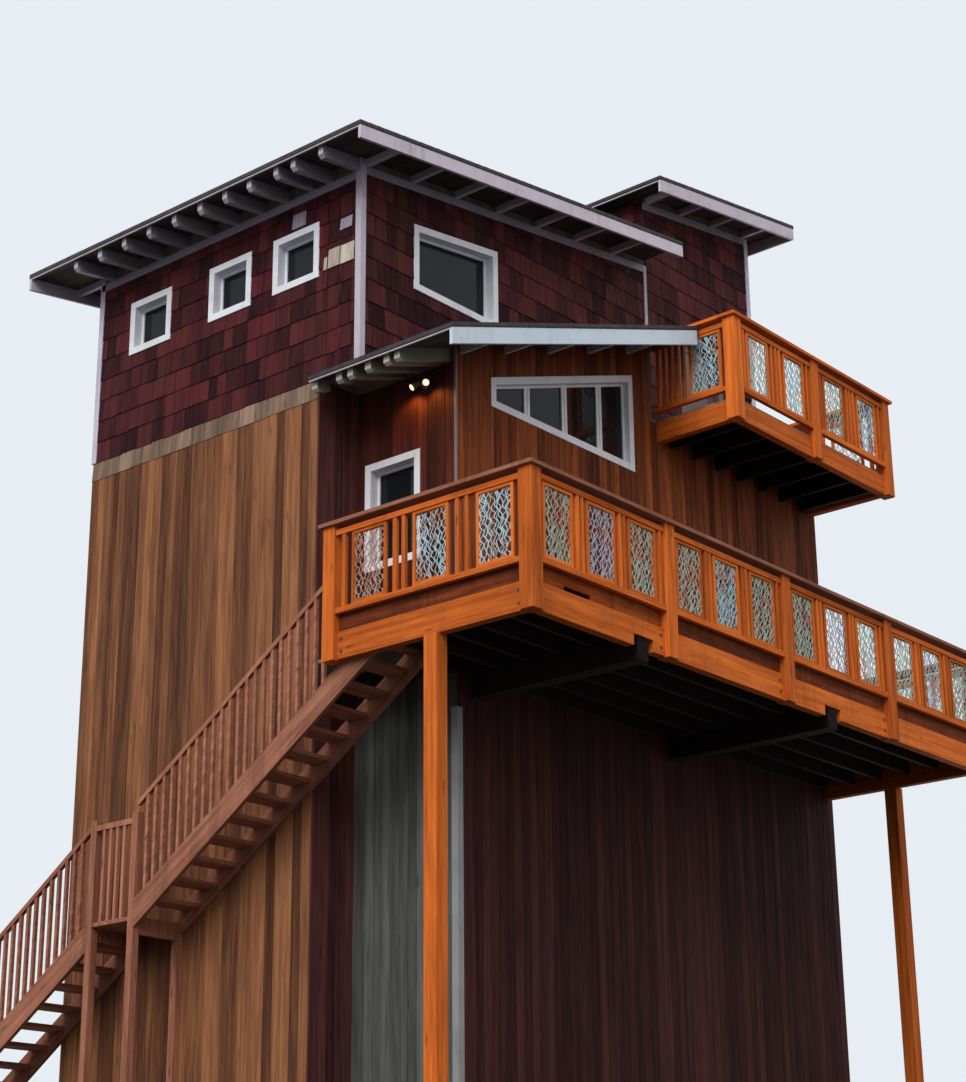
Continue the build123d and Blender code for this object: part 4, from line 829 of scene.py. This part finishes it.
# The porch corner's darker paint is painted shade; its grey foot is the board's own colour
porch_shade_corner_paint = painted("corner paint darkened as porch shade", (0.20, 0.15, 0.16), (0.09, 0.06, 0.06), 0.8)
foot_paint = painted("grey foot corner paint", (0.28, 0.28, 0.29), (0.10, 0.09, 0.08), 0.9)


def corner_shade_and_wear(face):
    """The porch's corner board is painted darker as the shade of deck and porch roof, and has gone grey
    below the deck.
    """
    if abs(face.center.x - porch_x) >= CORNER_REACH or face.center.z >= upper_foot:
        return 0
    return 2 if face.center.z < rim_foot else 1


corner_trim = dressed("corner_boards", lilac_paint, TRIM_EASE, 31)
refinished(corner_trim, (porch_shade_corner_paint, foot_paint), corner_shade_and_wear)
dressed("main_roof_trim", lilac_paint, TRIM_EASE, 32)
dressed("rear_roof_trim", lilac_paint, TRIM_EASE, 33)
dressed("lower_roof_trim", blue_paint, TRIM_EASE, 34)
# Rafters take the darkened paint as painted shade; their outward cut ends keep the plain paint, lit
for seed, (node, paint, end_paint) in enumerate((
        ("main_roof_rafters", eave_shade_and_grime_paint, lilac_paint),
        ("lower_roof_rafters", eave_shade_and_grime_cream, cream_paint)), start=35):
    rafters = dressed(node, paint, FRAMING_EASE, seed)
    refinished(rafters, (end_paint,), lambda face: 1 if face.normal.x < -CUT_END_LEAN else 0)


# Frieze boards and back corners. A painted board nailed to the head of each shingled wall, right
# under the rafters or the lookouts, closes the last course off; square ones close the back corners.
# The friezes take the paint that is darkened as painted shade under the eaves.
CORNER_BOARD = 0.06
FRIEZE_DEPTH = 0.10
FRIEZE_THICKNESS = 0.022


def frieze(name, turn, distance, u0, u1, head0, head1, seed):
    """A board on a wall whose upper edge rises from head0 at u0 to head1 at u1."""
    middle = on_wall(turn, distance + FRIEZE_THICKNESS / 2, (u0 + u1) / 2, head0 - FRIEZE_DEPTH / 2)
    piece = block(name, middle, (u1 - u0, FRIEZE_THICKNESS, FRIEZE_DEPTH), turn)
    for vertex in piece.data.vertices:
        if across(turn, np.array(vertex.co)) > (u0 + u1) / 2:
            vertex.co.z += head1 - head0
    kept(eased(piece, TRIM_EASE), eave_shade_and_grime_paint, seed)


back_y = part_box("upper_back_wall")[1].y
frieze("tower_side_frieze", STAIR_SIDE, -house_left, -back_y, -tower_y - CORNER_BOARD,
       rafter_foot, rafter_foot, 37)
between_boards = (house_left + CORNER_BOARD, block_x - CORNER_BOARD)
for seed, (name, turn, distance, roof, x0, x1) in enumerate((
        ("tower_front_frieze", FRONT, -tower_y, "main_roof", *between_boards),
        ("block_front_frieze", FRONT, -tower_y, "rear_roof", block_x, house_right - CORNER_BOARD),
        ("tower_back_frieze", BACK, back_y, "main_roof", block_x, house_left),
        ("block_back_frieze", BACK, back_y, "rear_roof", house_right, block_x)), start=38):
    side = -1 if turn == BACK else 1
    frieze(name, turn, distance, side * x0, side * x1, lookout_foot(roof, x0), lookout_foot(roof, x1), seed)
corner_size = CORNER_BOARD + FRIEZE_THICKNESS
corner_inset = (CORNER_BOARD - FRIEZE_THICKNESS) / 2
for seed, (name, x, inward, head) in enumerate((
        ("back_corner_left", house_left, 1, lookout_foot("main_roof", house_left)),
        ("back_corner_right", house_right, -1, lookout_foot("rear_roof", house_right))), start=45):
    middle = (x + inward * corner_inset, back_y - corner_inset, (upper_foot + head) / 2)
    corner = block(name, middle, (corner_size, corner_size, head - upper_foot))
    kept(eased(corner, TRIM_EASE), lilac_paint, seed)


# Windows. Painted frames with deep jambs round fixed sashes, and plain panes that mirror the sky,
# tinted almost black as painted shade of the rooms behind. The doors are panelled and painted dark.
SASH_EASE = 0.002
DOOR_EASE = 0.0015
window_paint = painted("window paint", (0.72, 0.74, 0.80), (0.30, 0.29, 0.27), 0.6)
dressed("main_window_frames", window_paint, SASH_EASE, 41)
dressed("upper_window_frames", window_paint, SASH_EASE, 42)
door_paint = painted("door paint", (0.09, 0.045, 0.035), (0.03, 0.02, 0.015), 0.6, 0.4)
dressed("deck_door", door_paint, DOOR_EASE, 43)
dressed("balcony_door", door_paint, DOOR_EASE, 44)

# The panes' near-black tint is painted shade for the dark rooms behind them
glass, tree, shader = new_finish("window glass")
film = noise(tree, object_place(tree), 3.0, 5.0)
feed(tree, shader, {
    "Base Color": mixed(tree, film, (0.035, 0.042, 0.050, 1), (0.075, 0.090, 0.105, 1)),
    "Roughness": spread(tree, film, 0.3, 0.7, 0.02, 0.07),
    "Transmission Weight": 0.85,
    "IOR": 1.25,
})
for node in ("main_window_glass", "upper_window_glass"):
    coated(node, glass)


# The frames and posts of deck and balcony. Rough-sawn cedar posts six inches square, notched over
# a deep rim board and bolted to it, oiled a bright orange brown; girders and joists are painted
# near black, as the shade under the deck.
OILED = ((0.70, 0.168, 0.023), (0.38, 0.074, 0.010), (0.14, 0.030, 0.008))
CAP_WORN = ((0.43, 0.180, 0.112), (0.21, 0.076, 0.047), (0.09, 0.036, 0.026))
# Skirt colours: darker as painted shade under the guard rail, lighter over the first bay as painted light
SKIRT_SHADED = ((0.240, 0.055, 0.017), (0.085, 0.020, 0.009), (0.025, 0.009, 0.006))
SKIRT_LIT = ((0.450, 0.105, 0.019), (0.210, 0.042, 0.009), (0.060, 0.015, 0.006))
UNDER_DECK_SHADE = ((0.014, 0.008, 0.006), (0.007, 0.004, 0.004), (0.004, 0.003, 0.003))
CAP_EASE = 0.005
cedar = timber("oiled cedar", *OILED, 0.45, 0.16, 0.12)
cap_cedar = timber("weathered cap cedar", *CAP_WORN, 0.6, 0.12, 0.12)
shaded_skirt_cedar = timber("skirt cedar darkened as shade", *SKIRT_SHADED, 0.85, 0.3, 0.06)
lit_skirt_cedar = timber("skirt cedar lightened as lit", *SKIRT_LIT, 0.85, 0.3, 0.06)
shade_black_timber = timber("timber painted black as shade under the deck", *UNDER_DECK_SHADE, 0.6, 0.2, 0.05)
for seed, node in enumerate(("deck_rim_left", "deck_rim_end", "deck_guard_posts", "support_posts",
                             "deck_rails", "deck_balusters", "balcony_rim", "balcony_guard_posts",
                             "balcony_balusters", "balcony_rails"), start=51):
    dressed(node, cedar, FRAMING_EASE, seed)
dressed("deck_cap_rail", cap_cedar, CAP_EASE, 65)
for seed, node in enumerate(("deck_girders", "deck_joists", "balcony_joists"), start=67):
    dressed(node, shade_black_timber, FRAMING_EASE, seed)


# The right-hand rim and the skirts. Two rim boards meet over the first girder, and the skirt board
# above them has a piece broken out near the corner post.
RIM_JOINT = 0.006
RIM_CUTTER = 1
SLOT_FROM_CORNER, SLOT_LENGTH, SLOT_HEIGHT = 0.52, 0.41, 0.062
SLOT_CUTTER = 0.5
SKIRT_BEHIND_RIM = 0.1


def cut_out(piece, cutter):
    """Takes the cutter's shape out of a piece."""
    cut = only(piece).modifiers.new("cut", "BOOLEAN")
    cut.operation = "DIFFERENCE"
    cut.solver = "EXACT"
    cut.object = cutter
    bpy.ops.object.modifier_apply(modifier=cut.name)
    bpy.data.objects.remove(cutter)
    return piece


first_girder = min(solids_in("deck_girders"), key=lambda own: own.min(0)[0])
rim_low, rim_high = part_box("deck_rim_right")
left_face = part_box("deck_rim_left")[0].x
joint_x = (first_girder.min(0)[0] + first_girder.max(0)[0]) / 2
joint_place = (joint_x, rim_low.y, (rim_low.z + rim_high.z) / 2)
joint = block("rim joint", joint_place, (RIM_JOINT, RIM_CUTTER, RIM_CUTTER))
right_rim = eased(cut_out(copied("deck_rim_right", "deck_rim_right_finished"), joint), FRAMING_EASE)
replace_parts(kept(right_rim, cedar, 62), "deck_rim_right")
slot_place = (left_face + SLOT_FROM_CORNER + SLOT_LENGTH / 2, rim_low.y, rim_high.z + SLOT_HEIGHT / 2)
slot = block("skirt slot", slot_place, (SLOT_LENGTH, SLOT_CUTTER, SLOT_HEIGHT))
skirts = eased(cut_out(copied("deck_skirts", "deck_skirts_finished"), slot), TRIM_EASE)
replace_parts(kept(skirts, shaded_skirt_cedar, 66), "deck_skirts")


def lit_skirt_face(face):
    """The skirt above the right-hand rim's first board is painted lighter, as lit; the rest stays darker as
    painted shade.
    """
    return 1 if face.center.y < rim_high.y + SKIRT_BEHIND_RIM and face.center.x < joint_x else 0


refinished(skirts, (lit_skirt_cedar,), lit_skirt_face)


# Deck and balcony floors. Cedar boards screwed to the joists a few millimetres apart, bleached
# and trodden on top, their undersides painted near black as shade.
BLADE_MARGIN = 0.1
FLOORBOARD_PITCH = 0.145
FLOORBOARD_GAP = 0.005
FLOORBOARD_EASE = 0.002
FACES_DOWN = -0.5
ALONG_X = ((1, 0, 0), (0, 1, 0), (0, 0, 1))
TRODDEN = ((0.30, 0.19, 0.135), (0.16, 0.095, 0.065), (0.07, 0.045, 0.035))


def sawn_apart(piece, axis, pitch, gap):
    """Cuts a slab into boards: one thin blade, repeated at the boards' pitch, is taken out of it."""
    points = points_of(piece.data)
    low, high = points.min(0), points.max(0)
    blade_size = high - low + BLADE_MARGIN
    blade_size[axis] = gap
    place = (low + high) / 2
    place[axis] = low[axis] + pitch
    blades = block("blades", place, blade_size)
    row = blades.modifiers.new("row of blades", "ARRAY")
    row.use_relative_offset = False
    row.use_constant_offset = True
    row.constant_offset_displace = [pitch if i == axis else 0 for i in range(3)]
    row.count = int((high[axis] - low[axis]) / pitch)
    bpy.ops.object.modifier_apply(modifier=row.name)
    return cut_out(piece, blades)


floor_cedar = timber("weathered deck boards", *TRODDEN, 0.6, 0.2)
for seed, node in enumerate(("deck_floor", "balcony_floor"), start=72):
    boards = sawn_apart(copied(node, node + "_boards"), 1, FLOORBOARD_PITCH, FLOORBOARD_GAP)
    kept(eased(boards, FLOORBOARD_EASE, 1), floor_cedar, seed, ALONG_X)
    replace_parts(boards, node)
    # Faces that look down take the near-black timber: painted shade
    refinished(boards, (shade_black_timber,), lambda face: 1 if face.normal.z < FACES_DOWN else 0)


# The stair. Open treads between two stringers, a landing on posts and a guard of upright bars, all
# of the cedar that caps the deck's guard and as weathered.
for seed, node in enumerate(("stair_treads", "stair_stringers", "stair_landing", "stair_guard"), start=75):
    dressed(node, cap_cedar, FRAMING_EASE, seed)


# Guard panels. Cedar frames of four bars round a lattice of thin stems, cut from plate, that
# sway across each other. The plate has taken a different patina from panel to panel.
PANEL_BAR = 0.036
STEMS = 15
STEM_BENDS = 44
STEM_PLATE = 0.006
STEM_STEP = 0.0009
STEM_TENON = 0.006
STEM_WIDTH = (0.008, 0.013)
STEM_WAVES = (4.2, 6.2)
STEM_SWAY = (0.55, 1.15)
STEM_OUT_OF_STEP = 0.9
STEM_LEAN = 0.05
RIPPLE_WAVES = (7.5, 10.5)
RIPPLE_SHARE = 0.25
SWELL_SHARE = 0.25
SWELLS = 9
panel_points = solids_in("deck_panels_right")[0]
panel_width, panel_depth, panel_height = panel_points.max(0) - panel_points.min(0)


def bar(x, z, width, height):
    return eased(block("panel bar", (x, 0, z), (width, panel_depth, height)), TRIM_EASE, 1)


def joined(pieces, name):
    only(pieces[0])
    for piece in pieces:
        piece.select_set(True)
    bpy.ops.object.join()
    pieces[0].name = name
    return pieces[0]


side_x = (panel_width - PANEL_BAR) / 2
end_z = (panel_height - PANEL_BAR) / 2
between = panel_width - 2 * PANEL_BAR
panel_frame = joined(
    [bar(side * side_x, 0, PANEL_BAR, panel_height) for side in (-1, 1)]
    + [bar(0, side * end_z, between, PANEL_BAR) for side in (-1, 1)], "panel frame pattern")


def stem(number, chance):
    """One stem: a strip bent to and fro round its own line, given its thickness by Solidify."""
    bpy.ops.object.select_all(action="DESELECT")
    bpy.ops.mesh.primitive_grid_add(x_subdivisions=1, y_subdivisions=STEM_BENDS, size=1)
    piece = bpy.context.object
    reach = panel_height - 2 * PANEL_BAR + 2 * STEM_TENON
    centre = ((number + 0.5) / STEMS - 0.5) * between
    waves = chance.uniform(*STEM_WAVES)
    phase = math.pi * number + chance.uniform(-STEM_OUT_OF_STEP, STEM_OUT_OF_STEP)
    sway = chance.uniform(*STEM_SWAY) * between / STEMS
    ripples = chance.uniform(*RIPPLE_WAVES)
    lean = chance.uniform(-STEM_LEAN, STEM_LEAN)
    width = chance.uniform(*STEM_WIDTH)
    for vertex in piece.data.vertices:
        v = vertex.co.y + 0.5
        swing = math.sin(math.tau * waves * v + phase) * sway
        swing += math.sin(math.tau * ripples * v + 2 * phase) * sway * RIPPLE_SHARE
        line = centre + swing + lean * (v - 0.5)
        thick = width * (1 + SWELL_SHARE * math.sin(SWELLS * v + number))
        edge = max(-between / 2 + thick / 2, min(between / 2 - thick / 2, line))
        side = 1 if vertex.co.x > 0 else -1
        vertex.co = (edge + side * thick / 2, (number - STEMS / 2) * STEM_STEP, (v - 0.5) * reach)
    plate = piece.modifiers.new("plate", "SOLIDIFY")
    plate.thickness = STEM_PLATE
    plate.offset = 0
    bpy.ops.object.modifier_apply(modifier=plate.name)
    return piece


chance = random.Random(81)
lattice = joined([stem(number, chance) for number in range(STEMS)], "lattice pattern")


# Patina: a coloured bloom lies in clouds and specks over copper, and Cover says how much of it
tree, given = new_group(
    "copper patina",
    {"Bloom": "Color", "Cover": "Float"},
    {"Base Color": "Color", "Roughness": "Float", "Metallic": "Float", "Height": "Float"},
)
copper_patina = tree
place = object_place(tree)
specks = noise(tree, place, 38.0, 4.0, 0.6)
patches = plus(tree, times(tree, noise(tree, place, 3.2, 3.0), 0.7), times(tree, specks, 0.3))
copper = mixed(tree, specks, (0.24, 0.11, 0.07, 1), (0.58, 0.33, 0.24, 1))
bloom = mixed(tree, specks, stretched(tree, given["Bloom"], (0.6, 0.6, 0.6)), given["Bloom"])
covered = spread(tree, plus(tree, patches, times(tree, given["Cover"], 0.2)), 0.58, 0.66)
add(tree, "NodeGroupOutput", {
    "Base Color": mixed(tree, covered, copper, bloom),
    "Roughness": spread(tree, covered, 0.0, 1.0, 0.42, 0.8),
    "Metallic": spread(tree, covered, 0.0, 1.0, 0.6, 0.0),
    "Height": specks,
})


def patina(name, bloom, cover):
    return grouped(name, copper_patina, {"Bloom": (*bloom, 1), "Cover": cover}, 0.3, 0.002)


PATINAS = {
    "copper": patina("copper plate", (0.50, 0.46, 0.42), 0.15),
    "sky": patina("sky blue patina", (0.44, 0.66, 0.74), 0.85),
    "sage": patina("sage green patina", (0.44, 0.55, 0.46), 0.9),
    "lilac": patina("lilac grey patina", (0.46, 0.50, 0.62), 0.9),
}
PATINA_ORDER = {
    "deck_panels_left": ("sky", "sky", "copper"),
    "deck_panels_right": ("sage", "lilac", "sage", "sage", "sky", "sage"),
    "deck_panels_end": ("sage", "sky"),
    "balcony_panels": ("sky", "sage"),
}
AS_MADE = (1, 1, 1)
lattices = {shade: [] for shade in PATINAS}
for seed, (node, shades) in enumerate(PATINA_ORDER.items(), start=82):
    frames = []
    panels = sorted(solids_in(node), key=lambda own: (round(own.mean(0)[0], 1), own.mean(0)[1]))
    for number, own in enumerate(panels):
        low, high = own.min(0), own.max(0)
        middle = (low + high) / 2
        turn = 0 if high[0] - low[0] > high[1] - low[1] else quarter
        flip = 2 * quarter * (number % 2)
        frames.append((middle, (0, 0, turn), AS_MADE, chance.random()))
        lattices[shades[number % len(shades)]].append((middle, (0, flip, turn), AS_MADE, chance.random()))
    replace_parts(laid_out(panel_frame, node + "_frames", frames, cedar, seed), node)
for seed, (shade, places) in enumerate(lattices.items(), start=86):
    laid_out(lattice, "lattice_" + shade, places, PATINAS[shade], seed)


# Bolts. Domed galvanised carriage bolts, gone dark, each on its washer, hold the rims in pairs
# beside each post.
BOLT_HEAD = 0.015
BOLT_DOME = 0.45
BOLT_WASHER = 0.021
WASHER_THICKNESS = 0.004
WASHER_EASE = 0.001
BOLT_FROM_POST = 0.055
BOLT_HEIGHTS = (0.075, 0.205)
POST_BEHIND_RIM = 0.1
EVEN_TONE = 0.5
bpy.ops.object.select_all(action="DESELECT")
bpy.ops.mesh.primitive_uv_sphere_add(segments=14, ring_count=8, radius=BOLT_HEAD, scale=(1, BOLT_DOME, 1))
bolt_dome = bpy.context.object
bpy.ops.object.transform_apply(location=True, rotation=True, scale=True)
bpy.ops.object.select_all(action="DESELECT")
bpy.ops.mesh.primitive_cylinder_add(vertices=18, radius=BOLT_WASHER, depth=WASHER_THICKNESS,
                                    rotation=(quarter, 0, 0))
bolt_washer = bpy.context.object
bpy.ops.object.transform_apply(location=True, rotation=True, scale=True)
bolt = joined([bolt_dome, eased(bolt_washer, WASHER_EASE, 1)], "bolt pattern")
bolt_places = []
for own in solids_in("deck_guard_posts"):
    low, high = own.min(0), own.max(0)
    on_right = high[1] < rim_high.y + POST_BEHIND_RIM
    at_corner = on_right and low[0] <= rim_low.x
    for z in (rim_low.z + rise for rise in BOLT_HEIGHTS):
        if on_right:
            x = high[0] + BOLT_FROM_POST if at_corner else low[0] - BOLT_FROM_POST
            bolt_places.append(((x, rim_low.y, z), (0, 0, 0), AS_MADE, EVEN_TONE))
        if at_corner or not on_right:
            y = high[1] + BOLT_FROM_POST if at_corner else low[1] - BOLT_FROM_POST
            bolt_places.append(((left_face, y, z), (0, 0, -quarter), AS_MADE, EVEN_TONE))
bolt_metal = painted("darkened zinc", (0.036, 0.028, 0.024), (0.030, 0.014, 0.008), 0.8, 0.6)
laid_out(bolt, "carriage_bolts", bolt_places, bolt_metal, 91)


# The twin lamp under the eave. Two cast metal hoods on short arms, turned outwards and down from
# a round plate that is screwed to the porch wall, each with a warm lit lens in its mouth.
LAMP_PLATE = 0.025
LAMP_REACH = 0.070
LAMP_SPREAD = 0.075
LAMP_EASE = 0.001
PLATE_BACK = 0.001
HOOD_OUTWARD, HOOD_SIDEWAYS, HOOD_DOWN = 1, 0.6, 0.9
HOOD_LENGTH = 0.105
HOOD_BEYOND_TIP = 0.65
LENS_RADIUS = 0.036
LENS_DOME = 0.35
LENS_STRENGTH = 1.7
LAMP_GLOW = (1.0, 0.50, 0.12)
LAMP_WATTS = 9
BULB_BEFORE_MOUTH = 0.05
BULB_RADIUS = 0.03
BULB_TO_WALL, BULB_SIDEWAYS = 0.35, 0.15
BEAM = math.radians(130)
BEAM_SOFTNESS = 0.9
lamp_metal = painted("lamp metal", (0.20, 0.20, 0.19), (0.1, 0.1, 0.1), 0.5)
dressed("eave_lamp", lamp_metal, LAMP_EASE, 92)
lamp_low, lamp_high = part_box("eave_lamp")
lamp_points = points_of(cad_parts["eave_lamp"].data)
plate_z = lamp_points[lamp_points[:, 0] > lamp_high.x - PLATE_BACK][:, 2]
lamp_root = Vector((porch_x - LAMP_PLATE / 2, (lamp_low.y + lamp_high.y) / 2,
                    (plate_z.min() + plate_z.max()) / 2))
lens_glow, tree, shader = new_finish("lit lens")
ripple = noise(tree, object_place(tree), 60.0, 2.0)
feed(tree, shader, {
    "Emission Color": mixed(tree, ripple, (1.0, 0.62, 0.28, 1), (1.0, 0.84, 0.55, 1)),
    "Emission Strength": LENS_STRENGTH,
    "Base Color": mixed(tree, ripple, (0.8, 0.7, 0.5, 1), (0.9, 0.8, 0.6, 1)),
})
for side, name in ((-1, "lamp_lens_right"), (1, "lamp_lens_left")):
    aim = Vector((-HOOD_OUTWARD, side * HOOD_SIDEWAYS, -HOOD_DOWN)).normalized()
    mouth = lamp_root + Vector((-LAMP_REACH, side * LAMP_SPREAD, 0)) + aim * HOOD_LENGTH * HOOD_BEYOND_TIP
    bpy.ops.object.select_all(action="DESELECT")
    bpy.ops.mesh.primitive_uv_sphere_add(
        segments=20, ring_count=12, radius=LENS_RADIUS, location=mouth,
        rotation=aim.to_track_quat("Z", "Y").to_euler(), scale=(1, 1, LENS_DOME))
    lens = bpy.context.object
    lens.name = name
    bpy.ops.object.transform_apply(location=True, rotation=True, scale=True)
    bpy.ops.object.shade_smooth()
    lens.data.materials.append(lens_glow)
    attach(lens, "root")
    bpy.ops.object.light_add(type="SPOT", location=mouth + aim * BULB_BEFORE_MOUTH)
    bulb = bpy.context.object
    bulb.name = name + "_light"
    beam_aim = Vector((BULB_TO_WALL, side * BULB_SIDEWAYS, -1))
    bulb.rotation_euler = beam_aim.to_track_quat("-Z", "Y").to_euler()
    bulb.data.spot_size = BEAM
    bulb.data.spot_blend = BEAM_SOFTNESS
    bulb.data.energy = LAMP_WATTS
    bulb.data.color = LAMP_GLOW
    bulb.data.shadow_soft_size = BULB_RADIUS


# Roofs. Boards laid along the eaves over the rafters, and on them mineral felt tabs in courses
# of 140 mm with a dark metal edge; a thin painted strip closes the eave below that edge. The boards
# are near black, as painted shade under the eaves.
ROOF_BOARDS = 0.020
ROOF_BOARD_PITCH = 0.145
ROOF_BOARD_GAP = 0.004
FELT_ROOM = 0.010
TAB_WIDTH = 0.33
TAB_EXPOSURE = 0.14
TAB_LAP = 0.04
TAB_BUTT = 0.007
TAB_HEAD = 0.002
TAB_EASE = 0.0015
TAB_SLIT = 0.004
TAB_UNEVEN = (0.85, 1.15)
SHORTEST_TAB = 0.03
EAVE_STRIP = (0.022, 0.016)
EAVE_STRIP_INSET = 0.002
EAVE_STRIP_SHORT = 0.01
FACES_UP = 0.5
ALONG_Y = ((0, 1, 0), (1, 0, 0), (0, 0, 1))
MINERAL = ((0.060, 0.058, 0.062), (0.030, 0.029, 0.032), (0.020, 0.022, 0.018))
SOFFIT_SHADE = ((0.050, 0.040, 0.036), (0.022, 0.017, 0.016), (0.012, 0.009, 0.009))
tab = unit_piece("felt tab pattern", TAB_WIDTH, TAB_BUTT, TAB_HEAD, TAB_EASE)
roof_edge = streaked("dark roof edge", (0.030, 0.028, 0.031), (0.015, 0.014, 0.016))
felt = timber("mineral felt", *MINERAL, 0.6, 0.25, 0.2)
# Soffit boards: near black as painted shade under the eaves
soffit = timber("soffit boards darkened as shade", *SOFFIT_SHADE, 0.6, 0.2, 0.1)


def faces_shifted(piece, facing, lift):
    """Moves the faces of a slab that look up, 1, or down, -1, by lift."""
    only(piece)
    bpy.ops.object.mode_set(mode="EDIT")
    bpy.ops.mesh.select_mode(type="FACE")
    bpy.ops.mesh.select_all(action="DESELECT")
    bpy.ops.object.mode_set(mode="OBJECT")
    for face in piece.data.polygons:
        face.select = face.normal.z * facing > FACES_UP
    bpy.ops.object.mode_set(mode="EDIT")
    bpy.ops.transform.translate(value=(0, 0, lift))
    bpy.ops.object.mode_set(mode="OBJECT")
    return piece


def roofed(node, extent_at, seed):
    """Boards, edge, felt tabs and eave strip of one roof; extent_at gives its y from and to at x."""
    low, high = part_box(node)
    boards = faces_shifted(copied(node, node + "_boards"), 1, ROOF_BOARDS - ROOF_THICKNESS)
    boards = sawn_apart(boards, 0, ROOF_BOARD_PITCH, ROOF_BOARD_GAP)
    kept(boards, soffit, seed, ALONG_Y)
    edge = faces_shifted(faces_shifted(copied(node, node + "_edge"), 1, -FELT_ROOM), -1, ROOF_BOARDS)
    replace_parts(kept(edge, roof_edge, seed), node)
    run, rise = high.x - low.x, high.z - low.z - ROOF_THICKNESS
    slope = math.atan2(rise, run)
    up_slope = Vector((math.cos(slope), 0, math.sin(slope)))
    outward = Vector((-math.sin(slope), 0, math.cos(slope)))
    turns = tuple(Matrix((Vector((0, -1, 0)), -outward, up_slope)).transposed().to_euler())
    chance = random.Random(seed)
    places = []
    length = math.hypot(run, rise)
    row = 0
    while row * TAB_EXPOSURE < length - SHORTEST_TAB:
        base = Vector((low.x, 0, low.z + ROOF_THICKNESS - FELT_ROOM)) + up_slope * row * TAB_EXPOSURE
        reach = min(TAB_EXPOSURE + TAB_LAP, length - row * TAB_EXPOSURE)
        start, end = extent_at(base.x)
        y = start
        width = TAB_WIDTH * (0.5 if row % 2 else 1)
        while y < end - NO_ROOM:
            width = min(width, end - y)
            size = ((width - TAB_SLIT) / TAB_WIDTH, chance.uniform(*TAB_UNEVEN), reach)
            places.append(((base.x, y + width / 2, base.z), turns, size, chance.random()))
            y += width
            width = TAB_WIDTH
        row += 1
    laid_out(tab, node + "_felt", places, felt, seed + 1, UPRIGHT_GRAIN)
    start, end = extent_at(low.x)
    depth, height = EAVE_STRIP
    middle = (low.x + depth / 2 + EAVE_STRIP_INSET, (start + end) / 2, low.z - height / 2)
    strip = block(node + "_eave_strip", middle, (depth, end - start - EAVE_STRIP_SHORT, height))
    kept(eased(strip, TRIM_EASE, 1), lilac_paint, seed + 2)


def whole_width(node):
    low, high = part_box(node)
    return lambda x: (low.y, high.y)


lower_low, lower_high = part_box("lower_roof")
rake_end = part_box("lower_roof_trim")[1].x
tower_board_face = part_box("corner_boards")[0].x
TAB_SHORT_OF_EDGE = 0.1


def lower_roof_extent(x):
    """It passes the tower's corner, then butts on its front; past the rake board it has no overhang."""
    if x < tower_board_face - TAB_SHORT_OF_EDGE:
        return lower_low.y, lower_high.y
    return (lower_low.y if x < rake_end - TAB_SHORT_OF_EDGE else long_y), tower_y


roofed("main_roof", whole_width("main_roof"), 101)
roofed("lower_roof", lower_roof_extent, 105)
roofed("rear_roof", whole_width("rear_roof"), 109)

# The patterns that the copies were made from aren't part of the house
for pattern in (board, shingle, tab, bolt, lattice, panel_frame):
    bpy.data.objects.remove(pattern)
low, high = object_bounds()
